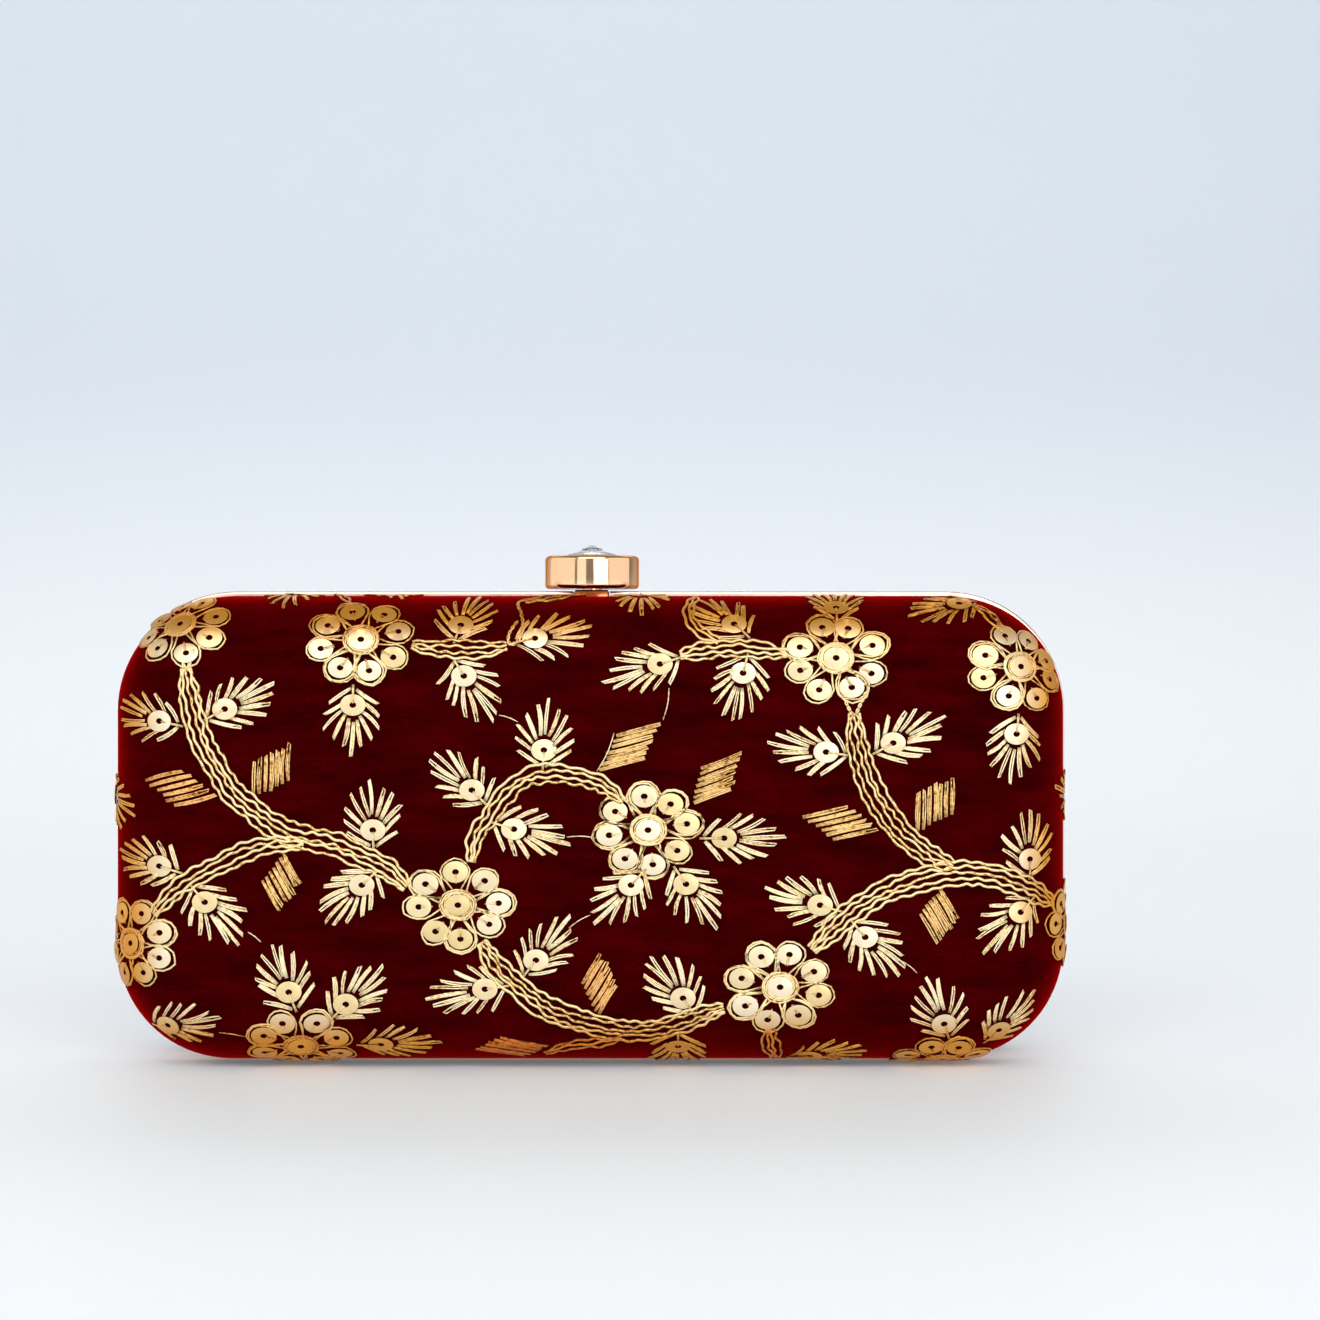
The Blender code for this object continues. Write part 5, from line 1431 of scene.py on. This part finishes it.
    def jump(self, start, end):
        """A slack thread left between two motifs."""
        steps = np.linspace(0, 1, 6)
        bow = np.sin(math.pi * steps)
        along = end - start
        across = np.array((-along[1], along[0])) * JUMP_SAG
        path = start + along * steps[:, None] + across * bow[:, None]
        self.pale.couch(path, JUMP_RADIUS, 0.1 * MM + 0.2 * MM * bow)

    def smooth_line(self, line):
        """A line of pixels as close cloth points, with the way across and the length so far."""
        knots = np.array([from_photo(pixel) for pixel in line])
        ends = np.vstack((2 * knots[0] - knots[1], knots, 2 * knots[-1] - knots[-2]))
        run = []
        for a, b, c, d in zip(ends, ends[1:], ends[2:], ends[3:]):
            t = np.linspace(0, 1, 12, endpoint=False)[:, None]
            run.append(0.5 * (2 * b + (c - a) * t + (2 * a - 5 * b + 4 * c - d) * t ** 2
                              + (3 * b - a - 3 * c + d) * t ** 3))
        dense = np.vstack((*run, knots[-1:]))
        length = np.concatenate(([0], np.cumsum(np.hypot(*np.diff(dense, axis=0).T))))
        even = np.linspace(0, length[-1], max(8, int(length[-1] / LINE_STEP)))
        middle = np.column_stack([np.interp(even, length, dense[:, axis]) for axis in (0, 1)])
        ahead = np.gradient(middle, axis=0)
        ahead /= np.hypot(ahead[:, 0], ahead[:, 1])[:, None]
        return middle, np.column_stack((-ahead[:, 1], ahead[:, 0])), even

    def disc(self, centre, size):
        """Remember a sequin's place, size and tilt."""
        tilts = self.chance.gauss(0, SEQUIN_TILT), self.chance.gauss(0, SEQUIN_TILT)
        self.discs.append((centre, size, *tilts))

    def sequins(self, name):
        """All sequins as one mesh of thin flat discs with a hole."""
        steps = SEQUIN_SIDES
        turn = np.linspace(0, 2 * math.pi, steps, endpoint=False)
        circle = np.column_stack((np.cos(turn), np.sin(turn)))
        radius, hole, film = sizes().sequin_width / 2, sizes().sequin_hole / 2, SEQUIN_FILM
        # Rings of one disc: radius and height, up the rim, over the face and down the hole.
        rings = ((radius, 0), (radius, 0.8 * film), (0.98 * radius, film), (1.05 * hole, film),
                 (hole, 0.8 * film), (hole, 0))
        points, faces = [], []
        for centre, size, tilt_x, tilt_y in self.discs:
            spots = np.array((centre, centre + (SEQUIN_STEP, 0)))
            (middle, right), (normal, _), room = lay(spots, SEQUIN_LIFT)
            if room[0] < radius * 0.7:
                continue
            right = right - middle
            right /= np.linalg.norm(right)
            up = np.cross(normal, right)
            base = sum(len(p) for p in points)
            for distance, height in rings:
                spread = circle * distance * size * MOTIF_STRETCH
                rise = height + spread @ np.array((tilt_x, tilt_y))
                points.append(middle + spread[:, :1] * right + spread[:, 1:] * up
                              + rise[:, None] * normal)
            for row in range(len(rings)):
                faces += ring_faces(base + row * steps, base + (row + 1) % len(rings) * steps, steps)
        return new_piece(name, np.concatenate(points), faces, gilt_sequin(), sharp=20)


# Studio.

# Lamps: name, place, width and height in metres, power in watts. The low boxes make the bands in the
# clasp; the key stands above the lens and lights the face.
SOFTBOXES = (
    ("front box left", (-0.585, -1.3, 0.175), (0.55, 0.35), 0.66),
    ("front box right", (0.555, -1.3, 0.175), (0.89, 0.35), 2.73),
    ("side box left", (-1.3, -0.2, 0.4), (2.3, 1.0), 6.6),
    ("side box right", (1.3, -0.37, 0.4), (1.67, 1.0), 4.6),
    ("key box", (0, -1.2, 0.85), (1.6, 0.8), 12.5),
    ("back box", (0, 0.9, 0.9), (1.2, 0.5), 3.0),
)
SKY_COLOUR = "#f6f6f4"
SKY_STRENGTH = 0.3
# The sweep: where its wall stands, the radius of its bend, and its reach to the sides, front and top.
WALL_Y = 1.05
SWEEP_BEND = 0.45
SWEEP_REACH = 3.0


class CLUTCH_OT_stage(bpy.types.Operator):
    """Set the pale sweep, the soft lights and the camera"""

    bl_idname = "clutch.stage"
    bl_label = "Studio Stage"

    def execute(self, context):
        self.sweep()
        world = bpy.data.worlds.new("studio")
        world.use_nodes = True
        sky = world.node_tree.nodes["Background"]
        sky.inputs["Color"].default_value = (*hex_colour(SKY_COLOUR), 1)
        sky.inputs["Strength"].default_value = SKY_STRENGTH
        context.scene.world = world
        for lamp in SOFTBOXES:
            self.softbox(*lamp)
        self.camera()
        context.scene.view_settings.view_transform = "Standard"
        return {"FINISHED"}

    def softbox(self, name, place, size, power):
        lamp = bpy.data.lights.new(name, "AREA")
        lamp.shape = "RECTANGLE"
        lamp.size, lamp.size_y = size
        lamp.energy = power
        box = bpy.data.objects.new(name, lamp)
        box.location = place
        box.visible_camera = False
        towards = Vector((0, 0, 2 * MIDDLE_Z)) - Vector(place)
        box.rotation_euler = towards.to_track_quat("-Z", "Y").to_euler()
        bpy.context.scene.collection.objects.link(box)

    def sweep(self):
        """A floor that curves up into the backdrop."""
        arc = bend((WALL_Y - SWEEP_BEND, SWEEP_BEND), SWEEP_BEND, -90, 0, 24)
        profile = [(-SWEEP_REACH, 0.0), *arc, (WALL_Y, SWEEP_REACH)]
        points = [(x, y, z) for y, z in profile for x in (-SWEEP_REACH, SWEEP_REACH)]
        faces = [(2 * at, 2 * at + 1, 2 * at + 3, 2 * at + 2) for at in range(len(profile) - 1)]
        new_piece("studio_sweep", points, faces, studio_paper(), sharp=0, outward=False)

    def camera(self):
        lens = bpy.data.cameras.new("photo camera")
        lens.sensor_width = SENSOR_WIDTH
        lens.lens = SENSOR_WIDTH * (LENS_DISTANCE - SPAN_DEPTH) / PHOTO_SPAN
        lens.clip_start = 0.01
        camera = bpy.data.objects.new("photo camera", lens)
        camera.location = (LENS_X, -LENS_DISTANCE, LENS_Z)
        camera.rotation_euler = (math.radians(90), 0, 0)
        bpy.context.scene.collection.objects.link(camera)
        bpy.context.scene.camera = camera


class CLUTCH_PT_sidebar(bpy.types.Panel):
    """Lists the clutch's pieces and their settings"""

    bl_idname = "CLUTCH_PT_sidebar"
    bl_label = "Embroidered Box Clutch"
    bl_space_type = "VIEW_3D"
    bl_region_type = "UI"
    bl_category = "Clutch"

    def draw(self, context):
        for operator in OPERATORS:
            self.layout.operator(operator.bl_idname)
        for group in (context.scene.clutch_sizes, context.scene.clutch_colours):
            column = self.layout.column(align=True)
            for name in group.__annotations__:
                column.prop(group, name)


OPERATORS = (CLUTCH_OT_velvet, CLUTCH_OT_lining, CLUTCH_OT_frames, CLUTCH_OT_clasp, CLUTCH_OT_works,
             CLUTCH_OT_embroidery, CLUTCH_OT_stage)
CLASSES = (ClutchSizes, ClutchColours, *OPERATORS, CLUTCH_PT_sidebar)


def register():
    for each in CLASSES:
        bpy.utils.register_class(each)
    bpy.types.Scene.clutch_sizes = PointerProperty(type=ClutchSizes)
    bpy.types.Scene.clutch_colours = PointerProperty(type=ClutchColours)


def unregister():
    del bpy.types.Scene.clutch_colours
    del bpy.types.Scene.clutch_sizes
    for each in reversed(CLASSES):
        bpy.utils.unregister_class(each)


def main():
    register()
    bpy.ops.clutch.velvet()
    bpy.ops.clutch.lining()
    bpy.ops.clutch.frames()
    bpy.ops.clutch.clasp()
    bpy.ops.clutch.works()
    bpy.ops.clutch.embroidery()
    bpy.ops.clutch.stage()


if __name__ == "__main__":
    main()
